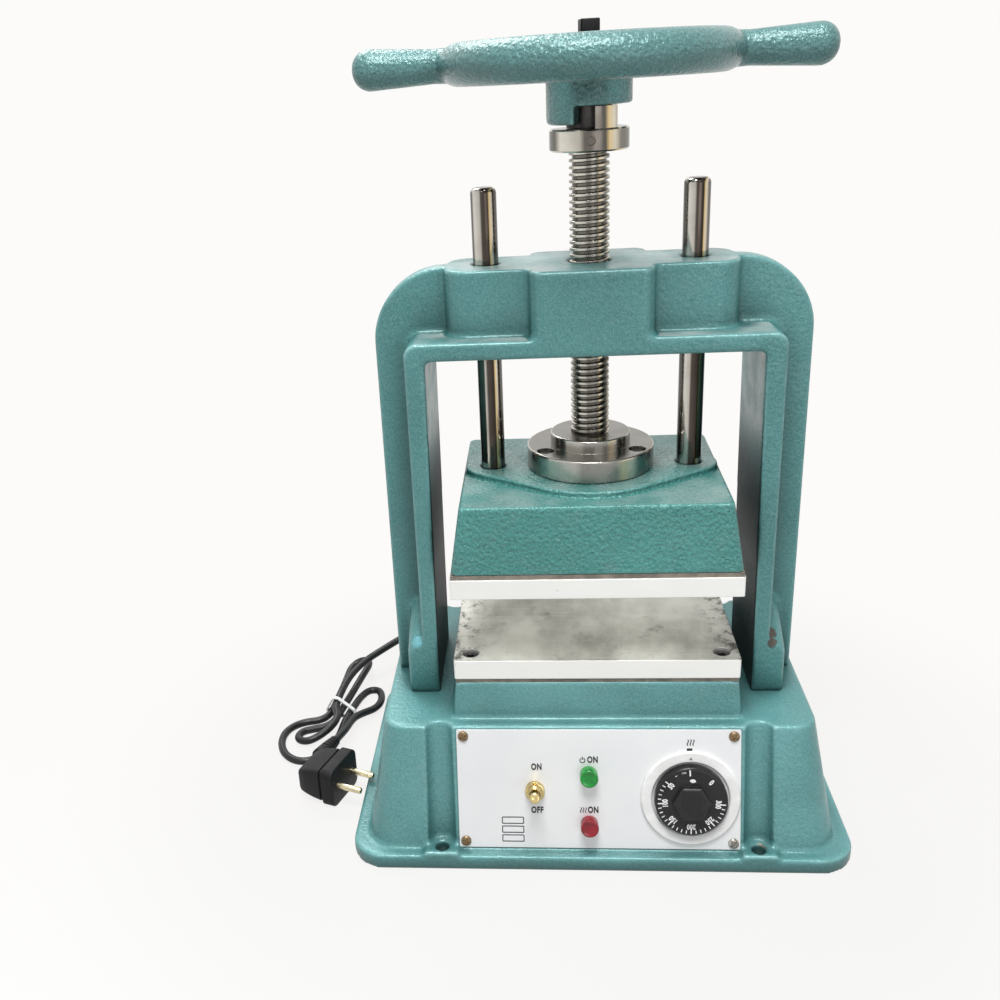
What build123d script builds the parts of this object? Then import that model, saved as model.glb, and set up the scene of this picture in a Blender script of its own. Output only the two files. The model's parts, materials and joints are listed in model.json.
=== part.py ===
from build123d import *
import os
from math import atan2, cos, pi, radians, sin, tan

# Bench vulcanizer for rubber jewelry molds, in millimetres.
# X is to the right, Y to the back, Z up. The origin is under the press screw, on the bench.

# Fits shared by the whole machine
running_gap = 0.05       # radial, a shaft that turns or slides in its bore
press_gap = 0.02         # radial, a bush or nut pressed into its seat
seat_gap = 0.3           # between pieces of different bodies that come close
bolt_gap = 0.4           # radial, a bolt in its hole
cut_over = 2.0           # how far every cut runs past the metal
blind_gap = 2.0          # below the tip of a screw in a blind hole

# Base casting
base_depth = 220.0
flange_height = 10.5
flange_corner_radius = 24.0
flange_edge_round = 2.0
flange_side_land = 10.5       # flange outside the foot of the side wall
flange_front_land = 8.5
flange_back_land = 7.0
deck_height = 93.5
side_lean = 14.5              # how far a side wall leans in up to the deck
front_lean = 19.0
back_lean = 7.5
foot_corner_radius = 22.0
deck_corner_radius = 15.0
deck_edge_round = 2.0
wall = 7.0
deck_thickness = 9.0

# Base bolts and the grooves that make room for a spanner
bolt_inset_x = 62.0
bolt_spacing_y = 204.0
bolt_hole_radius = 4.5
bolt_pad_width = 22.0
bolt_pad_depth = 26.0
bolt_pad_rise = 2.9
groove_radius = 9.5
groove_top_depth = 6.4
groove_metal = 6.0

# Pedestal under the lower platen
pedestal_height = 26.0
pedestal_foot_margin = 2.2
pedestal_top_margin = 0.3
pedestal_corner_radius = 3.0
pedestal_wall = 12.0

# Platens with their heaters and insulation
platen_width = 183.4
platen_depth = 141.8
platen_thickness = 13.2
platen_corner_radius = 1.5
daylight = 44.7
insulation_thickness = 2.8
insulation_inset = 0.8
heater_width = 140.0
heater_depth = 96.0
heater_thickness = 4.0
heater_gap = 0.3
platen_screw_inset_x = 10.7
platen_screw_inset_y = 10.6
platen_screw_radius = 3.0
platen_screw_head_radius = 5.0
platen_screw_head_height = 6.0
platen_counterbore_radius = 5.7
platen_counterbore_depth = 8.0
platen_screw_grip = 14.0

# Ram head
head_height = 45.0
head_side_taper = 7.2
head_front_taper = 2.4
head_corner_radius = 4.0
head_pad_rise = 4.0
head_pad_radius = 55.3
head_pad_end_radius = 18.5
head_edge_round = 1.5
head_foot_inset = 1.4
rod_seat_depth = 30.0

# Guide rods and their bushes
rod_spacing = 128.6
rod_radius = 8.0
rod_end_round = 3.5
rod_stand_out = 46.0          # rod above the arch with the press as shown
bush_wall = 3.0
bush_length = 44.0

# Arch frame
arch_height = 285.5           # above the deck
deck_side_land = 3.0          # deck outside the foot of the arch
shoulder_radius = 47.0
web_half_thickness = 7.7
rib_half_depth = 40.3
rib_width = 10.3
web_reach = 21.7              # web outside the rib
rib_corner_radius = 8.0
platen_side_gap = 13.3        # lower platen to the foot of the leg
window_draft = 2.7
window_height = 233.2         # above the deck
window_corner_radius = 3.0
ledge_rise = 11.3             # ledge above the window
centre_block_half_width = 37.2
boss_reach = 89.7
boss_half_depth = 26.7
boss_corner_radius = 15.0
inner_round = 5.5              # where the bosses meet the block
block_corner_round = 3.8
foot_reach_share = 0.4885     # of the web's reach
foot_front_height = 36.0
foot_web_height = 58.0
foot_slant = 5.0
arch_bolt_radius = 5.0
arch_bolt_spread = 48.0
arch_bolt_grip = 32.0
arch_bolt_head_flat = 16.0
arch_bolt_head_height = 6.4
arch_bolt_boss_radius = 13.0

# Press screw and nut
screw_radius = 12.25
nut_radius = 19.0
nut_length = 40.0
screw_hole_gap = 0.8
screw_length = 198.5          # from the end collar to the dog collar
end_collar_radius = 17.0
end_collar_height = 10.0
spigot_radius = 9.0

# Thrust bearing and flange on the ram head
bearing_radius = 17.5
bearing_bore = 9.5
race_thickness = 3.0
ball_radius = 2.0
ball_count = 10
bearing_pocket_radius = 18.0
flange_radius = 41.2
flange_thickness = 14.8
flange_hub_radius = 25.8
flange_hub_height = 8.2
flange_hub_round = 1.2
flange_bolt_circle = 33.8
flange_screw_count = 3
flange_screw_radius = 3.0
flange_screw_head_radius = 5.0
flange_screw_head_height = 6.0
flange_counterbore_radius = 5.7
flange_counterbore_depth = 8.0
flange_screw_grip = 12.0
flange_screw_angle = 90.0

# Dog collar on the screw
collar_radius = 23.7
collar_height = 12.8
collar_edge = 1.0
dog_height = 12.3
dog_inner_radius = 14.8
dog_start = -84.0
dog_end = -47.0
pin_radius = 2.5

# Handwheel
hub_radius = 25.3
hub_height = 34.0
jaw_drop = 10.2
jaw_inner_radius = 15.2
jaw_start = 114.0
jaw_end = 246.0
jaw_round = 2.0
rim_radius = 76.1
rim_section_radius = 11.9
rim_rise = 25.7               # rim centre above the underside of the hub
spoke_count = 4
spoke_hub_width = 24.0
spoke_hub_height = 14.0
spoke_hub_rise = 20.5          # middle of a spoke at the hub, above the hub's underside
spoke_rim_width = 17.0
spoke_rim_height = 13.0
spoke_edge_round = 5.0
hub_edge_round = 3.0
wheel_turn = -2.0             # how the handles stand in the photographed pose
handle_boss_radius = 9.9
handle_boss_reach = 12.6      # boss face beyond the rim's centre circle
handle_root_radius = 9.6
handle_tip_radius = 12.4
handle_length = 51.0
handle_end_round = 10.6
handle_stud_radius = 5.0
handle_stud_length = 14.0
hub_bush_radius = 13.5
washer_radius = 14.0
washer_thickness = 2.2
wheel_bolt_flat = 11.0
wheel_bolt_head_height = 9.8
wheel_bolt_radius = 5.0
wheel_bolt_grip = 16.0
wheel_bolt_turn = 20.0
wheel_bolt_edge = 0.6

# Control panel
panel_side_land = 2.2         # wall between the panel and a bolt groove
panel_end_land = 1.82
panel_thickness = 1.2
panel_corner_radius = 1.0
panel_screw_inset = 4.4
panel_screw_radius = 1.75
panel_screw_head_radius = 3.4
panel_screw_head_height = 1.6
panel_screw_length = 6.0
panel_opening_side = 13.3     # panel beyond the opening, left and right
panel_opening_end = 9.25
panel_opening_corner = 6.0

# Toggle switch
switch_x = -40.7
switch_rise = -0.7
switch_bush_radius = 4.8
switch_bush_length = 8.0
switch_body_width = 13.0
switch_body_height = 28.0
switch_body_depth = 18.0
switch_nut_radius = 5.9
switch_nut_height = 4.0
switch_nut_slot_width = 1.6
switch_nut_slot_depth = 1.2
switch_mouth_radius = 3.7
switch_mouth_depth = 6.5
lever_root_radius = 1.8
lever_tip_radius = 3.2
lever_length = 19.0
lever_tilt = 13.0              # to either side of the bush's axis
lever_pivot_radius = 2.6
lever_pivot_depth = 3.4       # below the mouth of the bush
lever_tip_round = 2.4

# Signal lamps
lamp_x = -5.6
power_lamp_rise = 10.3
heat_lamp_rise = -23.8
lens_radius = 5.8
lens_length = 8.4
lens_round = 0.8
lamp_body_radius = 4.6
lamp_body_length = 26.0

# Thermostat with its dial
dial_side_land = 0.2          # panel beyond the bezel
dial_end_land = 3.85
bezel_radius = 31.8
bezel_bore = 24.6
bezel_thickness = 2.4
bezel_edge = 0.8
knob_radius = 23.2
knob_lift = 0.6
knob_disc_height = 6.5
knob_edge_round = 2.0
knob_grip_radius = 12.5
knob_grip_height = 11.0
shaft_radius = 3.0
shaft_in_knob = 5.0
shaft_in_body = 12.0
thermostat_width = 36.0
thermostat_height = 40.0
thermostat_depth = 26.0

# Bottom cover and inner parts
cover_thickness = 1.6
cover_land = 5.0
cover_bolt_land = 5.0         # metal kept round a bench bolt
cover_gap = 0.3
cover_post_radius = 6.5
cover_post_inset = 9.0
cover_screw_radius = 2.0
cover_screw_head_radius = 3.6
cover_screw_length = 10.0
terminal_width = 52.0
terminal_depth = 22.0
terminal_height = 20.0
terminal_y = 30.0

# Mains lead
cord_radius = 3.0
gland_x = -76.0
gland_height = 45.0
gland_flange_radius = 9.5
gland_flange_thickness = 3.5
gland_tail_radius = 5.2
gland_tail_length = 24.0
gland_hole_radius = 6.5
gland_inner_length = 10.0
tie_gap = 0.7
tie_thickness = 1.2
tie_width = 3.0
pin_pitch = 19.0
plug_pin_radius = 2.4
plug_pin_length = 19.0
plug_face_length = 37.0
plug_face_height = 30.6
plug_face_thickness = 9.0
plug_shoulder = 2.0
plug_back_length = 28.0
plug_back_height = 17.0
plug_depth = 31.0
plug_face_corner = 6.0
plug_back_corner = 5.0
plug_edge_round = 1.2
plug_pin_round = 1.0
plug_tail_radius = 6.0
plug_tail_end_radius = 4.2
plug_tail_length = 18.0
plug_turn = -20.0             # how the pins point, from the X axis
plug_tail_inset = 8.0

# Widths that follow from the platen, out to the edge of the flange
window_foot_half = platen_width / 2 + platen_side_gap
window_top_half = window_foot_half - window_draft
rib_outer = window_foot_half + rib_width
foot_outer = rib_outer + foot_reach_share * web_reach
arch_half_width = rib_outer + web_reach
deck_half_width = arch_half_width + deck_side_land
foot_half_width = deck_half_width + side_lean
base_width = 2 * (foot_half_width + flange_side_land)
bolt_spacing_x = base_width - 2 * bolt_inset_x

# Levels that follow from the sizes above
pad_height = flange_height + bolt_pad_rise
pedestal_top = deck_height + pedestal_height
lower_platen_foot = pedestal_top + insulation_thickness
lower_platen_top = lower_platen_foot + platen_thickness
upper_platen_foot = lower_platen_top + daylight
upper_platen_top = upper_platen_foot + platen_thickness
head_foot = upper_platen_top + insulation_thickness
head_top = head_foot + head_height
pad_top = head_top + head_pad_rise
arch_top = deck_height + arch_height
window_top = deck_height + window_height
ledge_height = window_top + ledge_rise
bearing_height = 2 * race_thickness + 2 * ball_radius
pocket_depth = bearing_height + end_collar_height + seat_gap
pocket_floor = pad_top - pocket_depth
screw_shoulder = pad_top - seat_gap
dog_collar_foot = screw_shoulder + screw_length
dog_collar_top = dog_collar_foot + collar_height
hub_foot = dog_collar_top + dog_height + seat_gap
hub_top = hub_foot + hub_height
spigot_top = hub_top + seat_gap
rim_height = hub_foot + rim_rise

# Walls of the base casting
foot_front = base_depth / 2 - flange_front_land
foot_back = base_depth / 2 - flange_back_land
deck_front = foot_front - front_lean
deck_back = foot_back - back_lean
wall_rise = deck_height - flange_height
front_slope = atan2(front_lean, wall_rise)
back_slope = atan2(back_lean, wall_rise)

# Plane of the sloped front wall, centred on it and facing the user
front_wall = Plane(
    origin=(0, -(foot_front + deck_front) / 2, (deck_height + flange_height) / 2),
    x_dir=(1, 0, 0),
    z_dir=(0, -cos(front_slope), sin(front_slope)),
)
panel_face = front_wall.offset(panel_thickness)

# Control panel between the bolt grooves, with the dial against its right edge
panel_width = bolt_spacing_x - 2 * (groove_radius + panel_side_land)
panel_height = wall_rise / cos(front_slope) - 2 * panel_end_land
panel_opening_width = panel_width - 2 * panel_opening_side
panel_opening_height = panel_height - 2 * panel_opening_end
dial_x = panel_width / 2 - bezel_radius - dial_side_land
dial_rise = bezel_radius + dial_end_land - panel_height / 2

# Where the lead leaves the rear wall
gland_wall_y = foot_back - back_lean * (gland_height - flange_height) / wall_rise
rear_wall = Plane(
    origin=(gland_x, gland_wall_y, gland_height),
    x_dir=(-1, 0, 0),
    z_dir=(0, cos(back_slope), sin(back_slope)),
)

os.makedirs("parts", exist_ok=True)


def save(builder, name):
    """Label the finished piece and write it to its own file."""
    builder.part.label = name
    export_step(builder.part, f"parts/{name}.step")


def ring_sector(outer, inner, start, end):
    """Sketch of a ring between two angles of less than a full half turn each side."""
    middle = (start + end) / 2
    reach = 2 * outer
    with BuildSketch(mode=Mode.PRIVATE) as sector:
        Circle(outer)
        Circle(inner, mode=Mode.SUBTRACT)
        with BuildLine():
            Polyline(
                (0, 0),
                (reach * cos(radians(start)), reach * sin(radians(start))),
                (reach * cos(radians(middle)), reach * sin(radians(middle))),
                (reach * cos(radians(end)), reach * sin(radians(end))),
                close=True,
            )
        make_face(mode=Mode.INTERSECT)
    return sector.sketch


def four_ways(x, y):
    """The four places at a distance x and y from the middle."""
    return [(side * x, end * y) for side in (-1, 1) for end in (-1, 1)]


# Hollow of the base casting, with the metal kept round the grooves, bolts and cover posts
groove_foot_y = bolt_spacing_y / 2
groove_top_front = deck_front - groove_top_depth + groove_radius
groove_top_back = deck_back - groove_top_depth + groove_radius
ceiling = deck_height - deck_thickness
arch_bolt_x = (window_foot_half + foot_outer) / 2
arch_bolt_places = four_ways(arch_bolt_x, arch_bolt_spread / 2)
post_x = foot_half_width - wall - cover_post_inset
post_y = foot_front - wall - cover_post_inset
post_places = four_ways(post_x, post_y)
platen_screw_places = four_ways(
    platen_width / 2 - platen_screw_inset_x, platen_depth / 2 - platen_screw_inset_y
)
panel_screw_places = four_ways(panel_width / 2 - panel_screw_inset, panel_height / 2 - panel_screw_inset)
rod_places = [(-rod_spacing / 2, 0), (rod_spacing / 2, 0)]


def groove_solid(radius, low, high):
    """A leaning round bar along each bolt groove, between two heights."""
    with BuildPart(mode=Mode.PRIVATE) as bars:
        for side in (-1, 1):
            for foot_y, top_y in ((-groove_foot_y, -groove_top_front), (groove_foot_y, groove_top_back)):
                lean = (top_y - foot_y) / (deck_height - pad_height)
                for height in (low, high):
                    with BuildSketch(Plane.XY.offset(height)):
                        with Locations((side * bolt_spacing_x / 2, foot_y + lean * (height - pad_height))):
                            Circle(radius)
                loft(ruled=True)
    return bars.part


ceiling_share = (ceiling - flange_height) / wall_rise
ceiling_front = foot_front - wall - front_lean * ceiling_share
ceiling_back = foot_back - wall - back_lean * ceiling_share
with BuildPart() as base_cavity:
    with BuildSketch():
        with Locations((0, (foot_back - foot_front) / 2)):
            RectangleRounded(
                2 * (foot_half_width - wall), foot_front + foot_back - 2 * wall, foot_corner_radius - wall
            )
    extrude(amount=flange_height)
    with BuildSketch(Plane.XY.offset(flange_height)):
        with Locations((0, (foot_back - foot_front) / 2)):
            RectangleRounded(
                2 * (foot_half_width - wall), foot_front + foot_back - 2 * wall, foot_corner_radius - wall
            )
    with BuildSketch(Plane.XY.offset(ceiling)):
        with Locations((0, (ceiling_back - ceiling_front) / 2)):
            RectangleRounded(
                2 * (foot_half_width - wall - side_lean * ceiling_share),
                ceiling_front + ceiling_back,
                deck_corner_radius - wall,
            )
    loft(ruled=True)
    with BuildSketch(Plane.XY.offset(ceiling)):
        Rectangle(platen_width - 2 * pedestal_wall, platen_depth - 2 * pedestal_wall)
    extrude(amount=pedestal_height)
    add(groove_solid(groove_radius + groove_metal, 0, deck_height), mode=Mode.SUBTRACT)
    with BuildSketch(Plane.XY.offset(ceiling - arch_bolt_head_height)):
        with Locations(*arch_bolt_places):
            Circle(arch_bolt_boss_radius)
    extrude(amount=arch_bolt_head_height, mode=Mode.SUBTRACT)
    with BuildSketch():
        with Locations(*post_places):
            Circle(cover_post_radius)
    extrude(amount=ceiling, mode=Mode.SUBTRACT)


def cover_outline(land):
    """Outline that laps the foot of the walls by a land and stays clear of the bench bolts."""
    with BuildSketch(mode=Mode.PRIVATE) as outline:
        with Locations((0, (foot_back - foot_front) / 2)):
            RectangleRounded(
                2 * (foot_half_width - wall + land),
                foot_front + foot_back - 2 * (wall - land),
                foot_corner_radius - wall + land,
            )
        with Locations(*four_ways(bolt_spacing_x / 2, bolt_spacing_y / 2)):
            Circle(bolt_hole_radius + cover_bolt_land + cover_land - land, mode=Mode.SUBTRACT)
    return outline.sketch


# Base casting: flange with bolt pads, drafted body, bolt grooves, pedestal, all hollow from below
with BuildPart() as base_casting:
    with BuildSketch():
        RectangleRounded(base_width, base_depth, flange_corner_radius)
    extrude(amount=flange_height)
    fillet(base_casting.faces().sort_by(Axis.Z)[-1].edges(), flange_edge_round)
    with BuildSketch():
        with GridLocations(bolt_spacing_x, base_depth - bolt_pad_depth, 2, 2):
            Rectangle(bolt_pad_width, bolt_pad_depth)
    extrude(amount=pad_height)
    with BuildSketch(Plane.XY.offset(flange_height)):
        with Locations((0, (foot_back - foot_front) / 2)):
            RectangleRounded(2 * foot_half_width, foot_front + foot_back, foot_corner_radius)
    with BuildSketch(Plane.XY.offset(deck_height)):
        with Locations((0, (deck_back - deck_front) / 2)):
            RectangleRounded(2 * deck_half_width, deck_front + deck_back, deck_corner_radius)
    loft(ruled=True)
    fillet(base_casting.faces().sort_by(Axis.Z)[-1].edges(), deck_edge_round)
    add(groove_solid(groove_radius, pad_height, deck_height + cut_over), mode=Mode.SUBTRACT)
    with BuildSketch(Plane.XY.offset(deck_height)):
        RectangleRounded(
            platen_width + 2 * pedestal_foot_margin,
            platen_depth + 2 * pedestal_foot_margin,
            pedestal_corner_radius,
        )
    with BuildSketch(Plane.XY.offset(pedestal_top)):
        RectangleRounded(
            platen_width - 2 * pedestal_top_margin,
            platen_depth - 2 * pedestal_top_margin,
            pedestal_corner_radius,
        )
    loft(ruled=True)
    add(base_cavity.part, mode=Mode.SUBTRACT)
    # Rebate for the bottom cover
    with BuildSketch():
        add(cover_outline(cover_land))
    extrude(amount=cover_thickness, mode=Mode.SUBTRACT)
    # Bolt holes to the bench
    with BuildSketch():
        with Locations(*four_ways(bolt_spacing_x / 2, bolt_spacing_y / 2)):
            Circle(bolt_hole_radius)
    extrude(amount=pad_height + cut_over, mode=Mode.SUBTRACT)
    # Clearance holes of the arch bolts
    with BuildSketch(Plane.XY.offset(ceiling - arch_bolt_head_height - cut_over)):
        with Locations(*arch_bolt_places):
            Circle(arch_bolt_radius + bolt_gap)
    extrude(amount=deck_thickness + arch_bolt_head_height + 2 * cut_over, mode=Mode.SUBTRACT)
    # Tapped holes of the cover and of the lower platen
    with BuildSketch(Plane.XY.offset(cover_thickness)):
        with Locations(*post_places):
            Circle(cover_screw_radius + press_gap)
    extrude(amount=cover_screw_length, mode=Mode.SUBTRACT)
    with BuildSketch(Plane.XY.offset(pedestal_top)):
        with Locations(*platen_screw_places):
            Circle(platen_screw_radius + press_gap)
    extrude(amount=-platen_screw_grip, mode=Mode.SUBTRACT)
    # Opening behind the control panel, with its tapped holes
    with BuildSketch(front_wall):
        RectangleRounded(panel_opening_width, panel_opening_height, panel_opening_corner)
    extrude(amount=-wall - cut_over, mode=Mode.SUBTRACT)
    with BuildSketch(front_wall):
        with Locations(*panel_screw_places):
            Circle(panel_screw_radius + press_gap)
    extrude(amount=-panel_screw_length, mode=Mode.SUBTRACT)
    # Hole for the lead's gland
    with BuildSketch(rear_wall):
        Circle(gland_hole_radius)
    extrude(amount=-wall - cut_over, mode=Mode.SUBTRACT)
save(base_casting, "base_casting")

# Bottom cover and its four screws
with BuildPart() as bottom_cover:
    with BuildSketch():
        add(cover_outline(cover_land - cover_gap))
    extrude(amount=cover_thickness)
    with BuildSketch():
        with Locations(*post_places):
            Circle(cover_screw_radius + bolt_gap)
    extrude(amount=cover_thickness + cut_over, mode=Mode.SUBTRACT)
    with BuildSketch():
        with Locations(*post_places):
            Circle(cover_screw_head_radius + bolt_gap)
    extrude(amount=cover_thickness / 2, mode=Mode.SUBTRACT)
save(bottom_cover, "bottom_cover")

with BuildPart() as cover_screws:
    with BuildSketch():
        with Locations(*post_places):
            Circle(cover_screw_head_radius)
    extrude(amount=cover_thickness / 2)
    with BuildSketch():
        with Locations(*post_places):
            Circle(cover_screw_radius)
    extrude(amount=cover_screw_length)
save(cover_screws, "cover_screws")

# Arch frame: rib round the window, web outside it, block for the nut and bosses for the rods
with BuildPart() as arch_frame:
    with BuildSketch(Plane.XZ) as rib_outline:
        with Locations((0, (deck_height + ledge_height) / 2)):
            Rectangle(2 * rib_outer, ledge_height - deck_height)
        fillet(rib_outline.vertices().group_by(Axis.Y)[-1], rib_corner_radius)
    extrude(amount=rib_half_depth, both=True)
    with BuildSketch(Plane.XZ) as web_outline:
        with Locations((0, (deck_height + arch_top) / 2)):
            Rectangle(2 * arch_half_width, arch_height)
        fillet(web_outline.vertices().group_by(Axis.Y)[-1], shoulder_radius)
    extrude(amount=web_half_thickness, both=True)
    # Foot blocks, highest at the web
    for side in (-1, 1):
        with BuildSketch(Plane.YZ.offset(side * (window_foot_half + foot_outer) / 2)):
            with BuildLine():
                Polyline(
                    (-rib_half_depth, deck_height),
                    (-rib_half_depth, deck_height + foot_front_height),
                    (-web_half_thickness, deck_height + foot_web_height),
                    (web_half_thickness, deck_height + foot_web_height),
                    (rib_half_depth, deck_height + foot_front_height),
                    (rib_half_depth, deck_height),
                    close=True,
                )
            make_face()
        extrude(amount=(foot_outer - window_foot_half) / 2, both=True)
    foot_ramps = arch_frame.edges().filter_by(
        lambda edge: abs(abs(edge.center().X) - foot_outer) < seat_gap
        and abs(edge.center().Y) > web_half_thickness
        and abs(edge.center().Y) < rib_half_depth
        and edge.center().Z > deck_height + foot_front_height
    )
    chamfer(foot_ramps, foot_slant)
    # Block round the nut and bosses round the rods
    with BuildSketch(Plane.XY.offset(ledge_height)):
        RectangleRounded(2 * boss_reach, 2 * boss_half_depth, boss_corner_radius)
    extrude(amount=arch_top - ledge_height)
    with BuildSketch(Plane.XY.offset(window_top)):
        Rectangle(2 * centre_block_half_width, 2 * rib_half_depth)
    extrude(amount=ledge_height - window_top)
    with BuildSketch(Plane.XY.offset(ledge_height)):
        RectangleRounded(2 * centre_block_half_width, 2 * rib_half_depth, block_corner_round)
    extrude(amount=arch_top - ledge_height)
    inside_corners = (
        arch_frame.edges()
        .filter_by(Axis.Z)
        .filter_by_position(Axis.X, -centre_block_half_width, centre_block_half_width)
        .filter_by_position(Axis.Y, -boss_half_depth, boss_half_depth)
    )
    fillet(inside_corners, inner_round)
    # Window between the legs
    with BuildSketch(Plane.XZ) as window_outline:
        with BuildLine():
            Polyline(
                (-window_foot_half, deck_height), (-window_top_half, window_top),
                (window_top_half, window_top), (window_foot_half, deck_height), close=True,
            )
        make_face()
        fillet(window_outline.vertices().group_by(Axis.Y)[-1], window_corner_radius)
    extrude(amount=rib_half_depth + cut_over, both=True, mode=Mode.SUBTRACT)
    # Bore of the screw, seat of the nut, seats of the bushes
    with BuildSketch(Plane.XY.offset(window_top)):
        Circle(screw_radius + screw_hole_gap)
    extrude(amount=arch_top - window_top + cut_over, mode=Mode.SUBTRACT)
    with BuildSketch(Plane.XY.offset(window_top)):
        Circle(nut_radius + press_gap)
    extrude(amount=nut_length, mode=Mode.SUBTRACT)
    with BuildSketch(Plane.XY.offset(window_top)):
        with Locations(*rod_places):
            Circle(rod_radius + seat_gap)
    extrude(amount=arch_top - window_top + cut_over, mode=Mode.SUBTRACT)
    with BuildSketch(Plane.XY.offset(window_top)):
        with Locations(*rod_places):
            Circle(rod_radius + running_gap + bush_wall + press_gap)
    extrude(amount=bush_length, mode=Mode.SUBTRACT)
    # Tapped holes in the feet
    with BuildSketch(Plane.XY.offset(deck_height)):
        with Locations(*arch_bolt_places):
            Circle(arch_bolt_radius + press_gap)
    extrude(amount=arch_bolt_grip, mode=Mode.SUBTRACT)
save(arch_frame, "arch_frame")

with BuildPart() as arch_bolts:
    with BuildSketch(Plane.XY.offset(ceiling - 2 * arch_bolt_head_height)):
        with Locations(*arch_bolt_places):
            RegularPolygon(arch_bolt_head_flat / 2, 6, major_radius=False)
    extrude(amount=arch_bolt_head_height)
    with BuildSketch(Plane.XY.offset(ceiling - arch_bolt_head_height)):
        with Locations(*arch_bolt_places):
            Circle(arch_bolt_radius)
    extrude(amount=deck_thickness + arch_bolt_head_height + arch_bolt_grip - blind_gap)
save(arch_bolts, "arch_bolts")

# Bronze nut of the screw and bronze bushes of the rods
with BuildPart() as screw_nut:
    with BuildSketch(Plane.XY.offset(window_top)):
        Circle(nut_radius)
        Circle(screw_radius + running_gap, mode=Mode.SUBTRACT)
    extrude(amount=nut_length)
save(screw_nut, "screw_nut")

for bush_side, bush_name in ((-1, "guide_bush_left"), (1, "guide_bush_right")):
    with BuildPart() as guide_bush:
        with BuildSketch(Plane.XY.offset(window_top)):
            with Locations((bush_side * rod_spacing / 2, 0)):
                Circle(rod_radius + running_gap + bush_wall)
                Circle(rod_radius + running_gap, mode=Mode.SUBTRACT)
        extrude(amount=bush_length)
    save(guide_bush, bush_name)

# Chrome rods fixed in the ram head
rod_foot = pad_top - rod_seat_depth
rod_top = arch_top + rod_stand_out
for rod_side, rod_name in ((-1, "guide_rod_left"), (1, "guide_rod_right")):
    with BuildPart() as guide_rod:
        with BuildSketch(Plane.XY.offset(rod_foot)):
            with Locations((rod_side * rod_spacing / 2, 0)):
                Circle(rod_radius)
        extrude(amount=rod_top - rod_foot)
        fillet(guide_rod.faces().sort_by(Axis.Z)[-1].edges(), rod_end_round)
    save(guide_rod, rod_name)

# Ram head: drafted block with a raised pad drawn round the flange and the rods
with BuildPart() as ram_head:
    with BuildSketch(Plane.XY.offset(head_foot)):
        RectangleRounded(platen_width - head_foot_inset, platen_depth - head_foot_inset, head_corner_radius)
    with BuildSketch(Plane.XY.offset(head_top)):
        RectangleRounded(
            platen_width - head_foot_inset - 2 * head_side_taper,
            platen_depth - head_foot_inset - 2 * head_front_taper,
            head_corner_radius,
        )
    loft(ruled=True)
    fillet(ram_head.faces().sort_by(Axis.Z)[-1].edges(), head_edge_round)
    with BuildSketch(Plane.XY.offset(head_top - head_edge_round)):
        with BuildLine():
            CenterArc((0, 0), head_pad_radius, 0, 360)
            for x, y in rod_places:
                CenterArc((x, y), head_pad_end_radius, 0, 360)
        make_hull()
    extrude(amount=head_pad_rise + head_edge_round)
    with BuildSketch(Plane.XY.offset(pocket_floor)):
        Circle(bearing_pocket_radius)
    extrude(amount=pocket_depth + cut_over, mode=Mode.SUBTRACT)
    with BuildSketch(Plane.XY.offset(rod_foot)):
        with Locations(*rod_places):
            Circle(rod_radius + press_gap)
    extrude(amount=rod_seat_depth + cut_over, mode=Mode.SUBTRACT)
    with BuildSketch(Plane.XY.offset(pad_top)):
        with PolarLocations(flange_bolt_circle, flange_screw_count, start_angle=flange_screw_angle):
            Circle(flange_screw_radius + press_gap)
    extrude(amount=-flange_screw_grip, mode=Mode.SUBTRACT)
    with BuildSketch(Plane.XY.offset(head_foot)):
        with Locations(*platen_screw_places):
            Circle(platen_screw_radius + press_gap)
    extrude(amount=platen_screw_grip, mode=Mode.SUBTRACT)
save(ram_head, "ram_head")

# Steel flange over the screw's end collar, with its cap screws
with BuildPart() as thrust_flange:
    with BuildSketch(Plane.XY.offset(pad_top)):
        Circle(flange_radius)
    extrude(amount=flange_thickness)
    with BuildSketch(Plane.XY.offset(pad_top + flange_thickness)):
        Circle(flange_hub_radius)
    extrude(amount=flange_hub_height)
    fillet(thrust_flange.faces().sort_by(Axis.Z)[-1].edges(), flange_hub_round)
    fillet(thrust_flange.edges().filter_by(GeomType.CIRCLE).sort_by(SortBy.RADIUS)[-2:], flange_hub_round)
    with BuildSketch(Plane.XY.offset(pad_top)):
        Circle(screw_radius + running_gap)
    extrude(amount=flange_thickness + flange_hub_height + cut_over, mode=Mode.SUBTRACT)
    with Locations(Plane.XY.offset(pad_top + flange_thickness)):
        with PolarLocations(flange_bolt_circle, flange_screw_count, start_angle=flange_screw_angle):
            CounterBoreHole(
                flange_screw_radius + bolt_gap, flange_counterbore_radius, flange_counterbore_depth
            )
save(thrust_flange, "thrust_flange")

flange_screw_seat = pad_top + flange_thickness - flange_counterbore_depth
with BuildPart() as flange_screws:
    with BuildSketch(Plane.XY.offset(flange_screw_seat)):
        with PolarLocations(flange_bolt_circle, flange_screw_count, start_angle=flange_screw_angle):
            Circle(flange_screw_head_radius)
    extrude(amount=flange_screw_head_height)
    with BuildSketch(Plane.XY.offset(flange_screw_seat)):
        with PolarLocations(flange_bolt_circle, flange_screw_count, start_angle=flange_screw_angle):
            Circle(flange_screw_radius)
    extrude(amount=flange_counterbore_depth - flange_thickness - flange_screw_grip + blind_gap)
    with BuildSketch(Plane.XY.offset(flange_screw_seat + flange_screw_head_height)):
        with PolarLocations(flange_bolt_circle, flange_screw_count, start_angle=flange_screw_angle):
            RegularPolygon(flange_screw_radius, 6)
    extrude(amount=-flange_screw_head_height / 2, mode=Mode.SUBTRACT)
save(flange_screws, "flange_screws")

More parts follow.
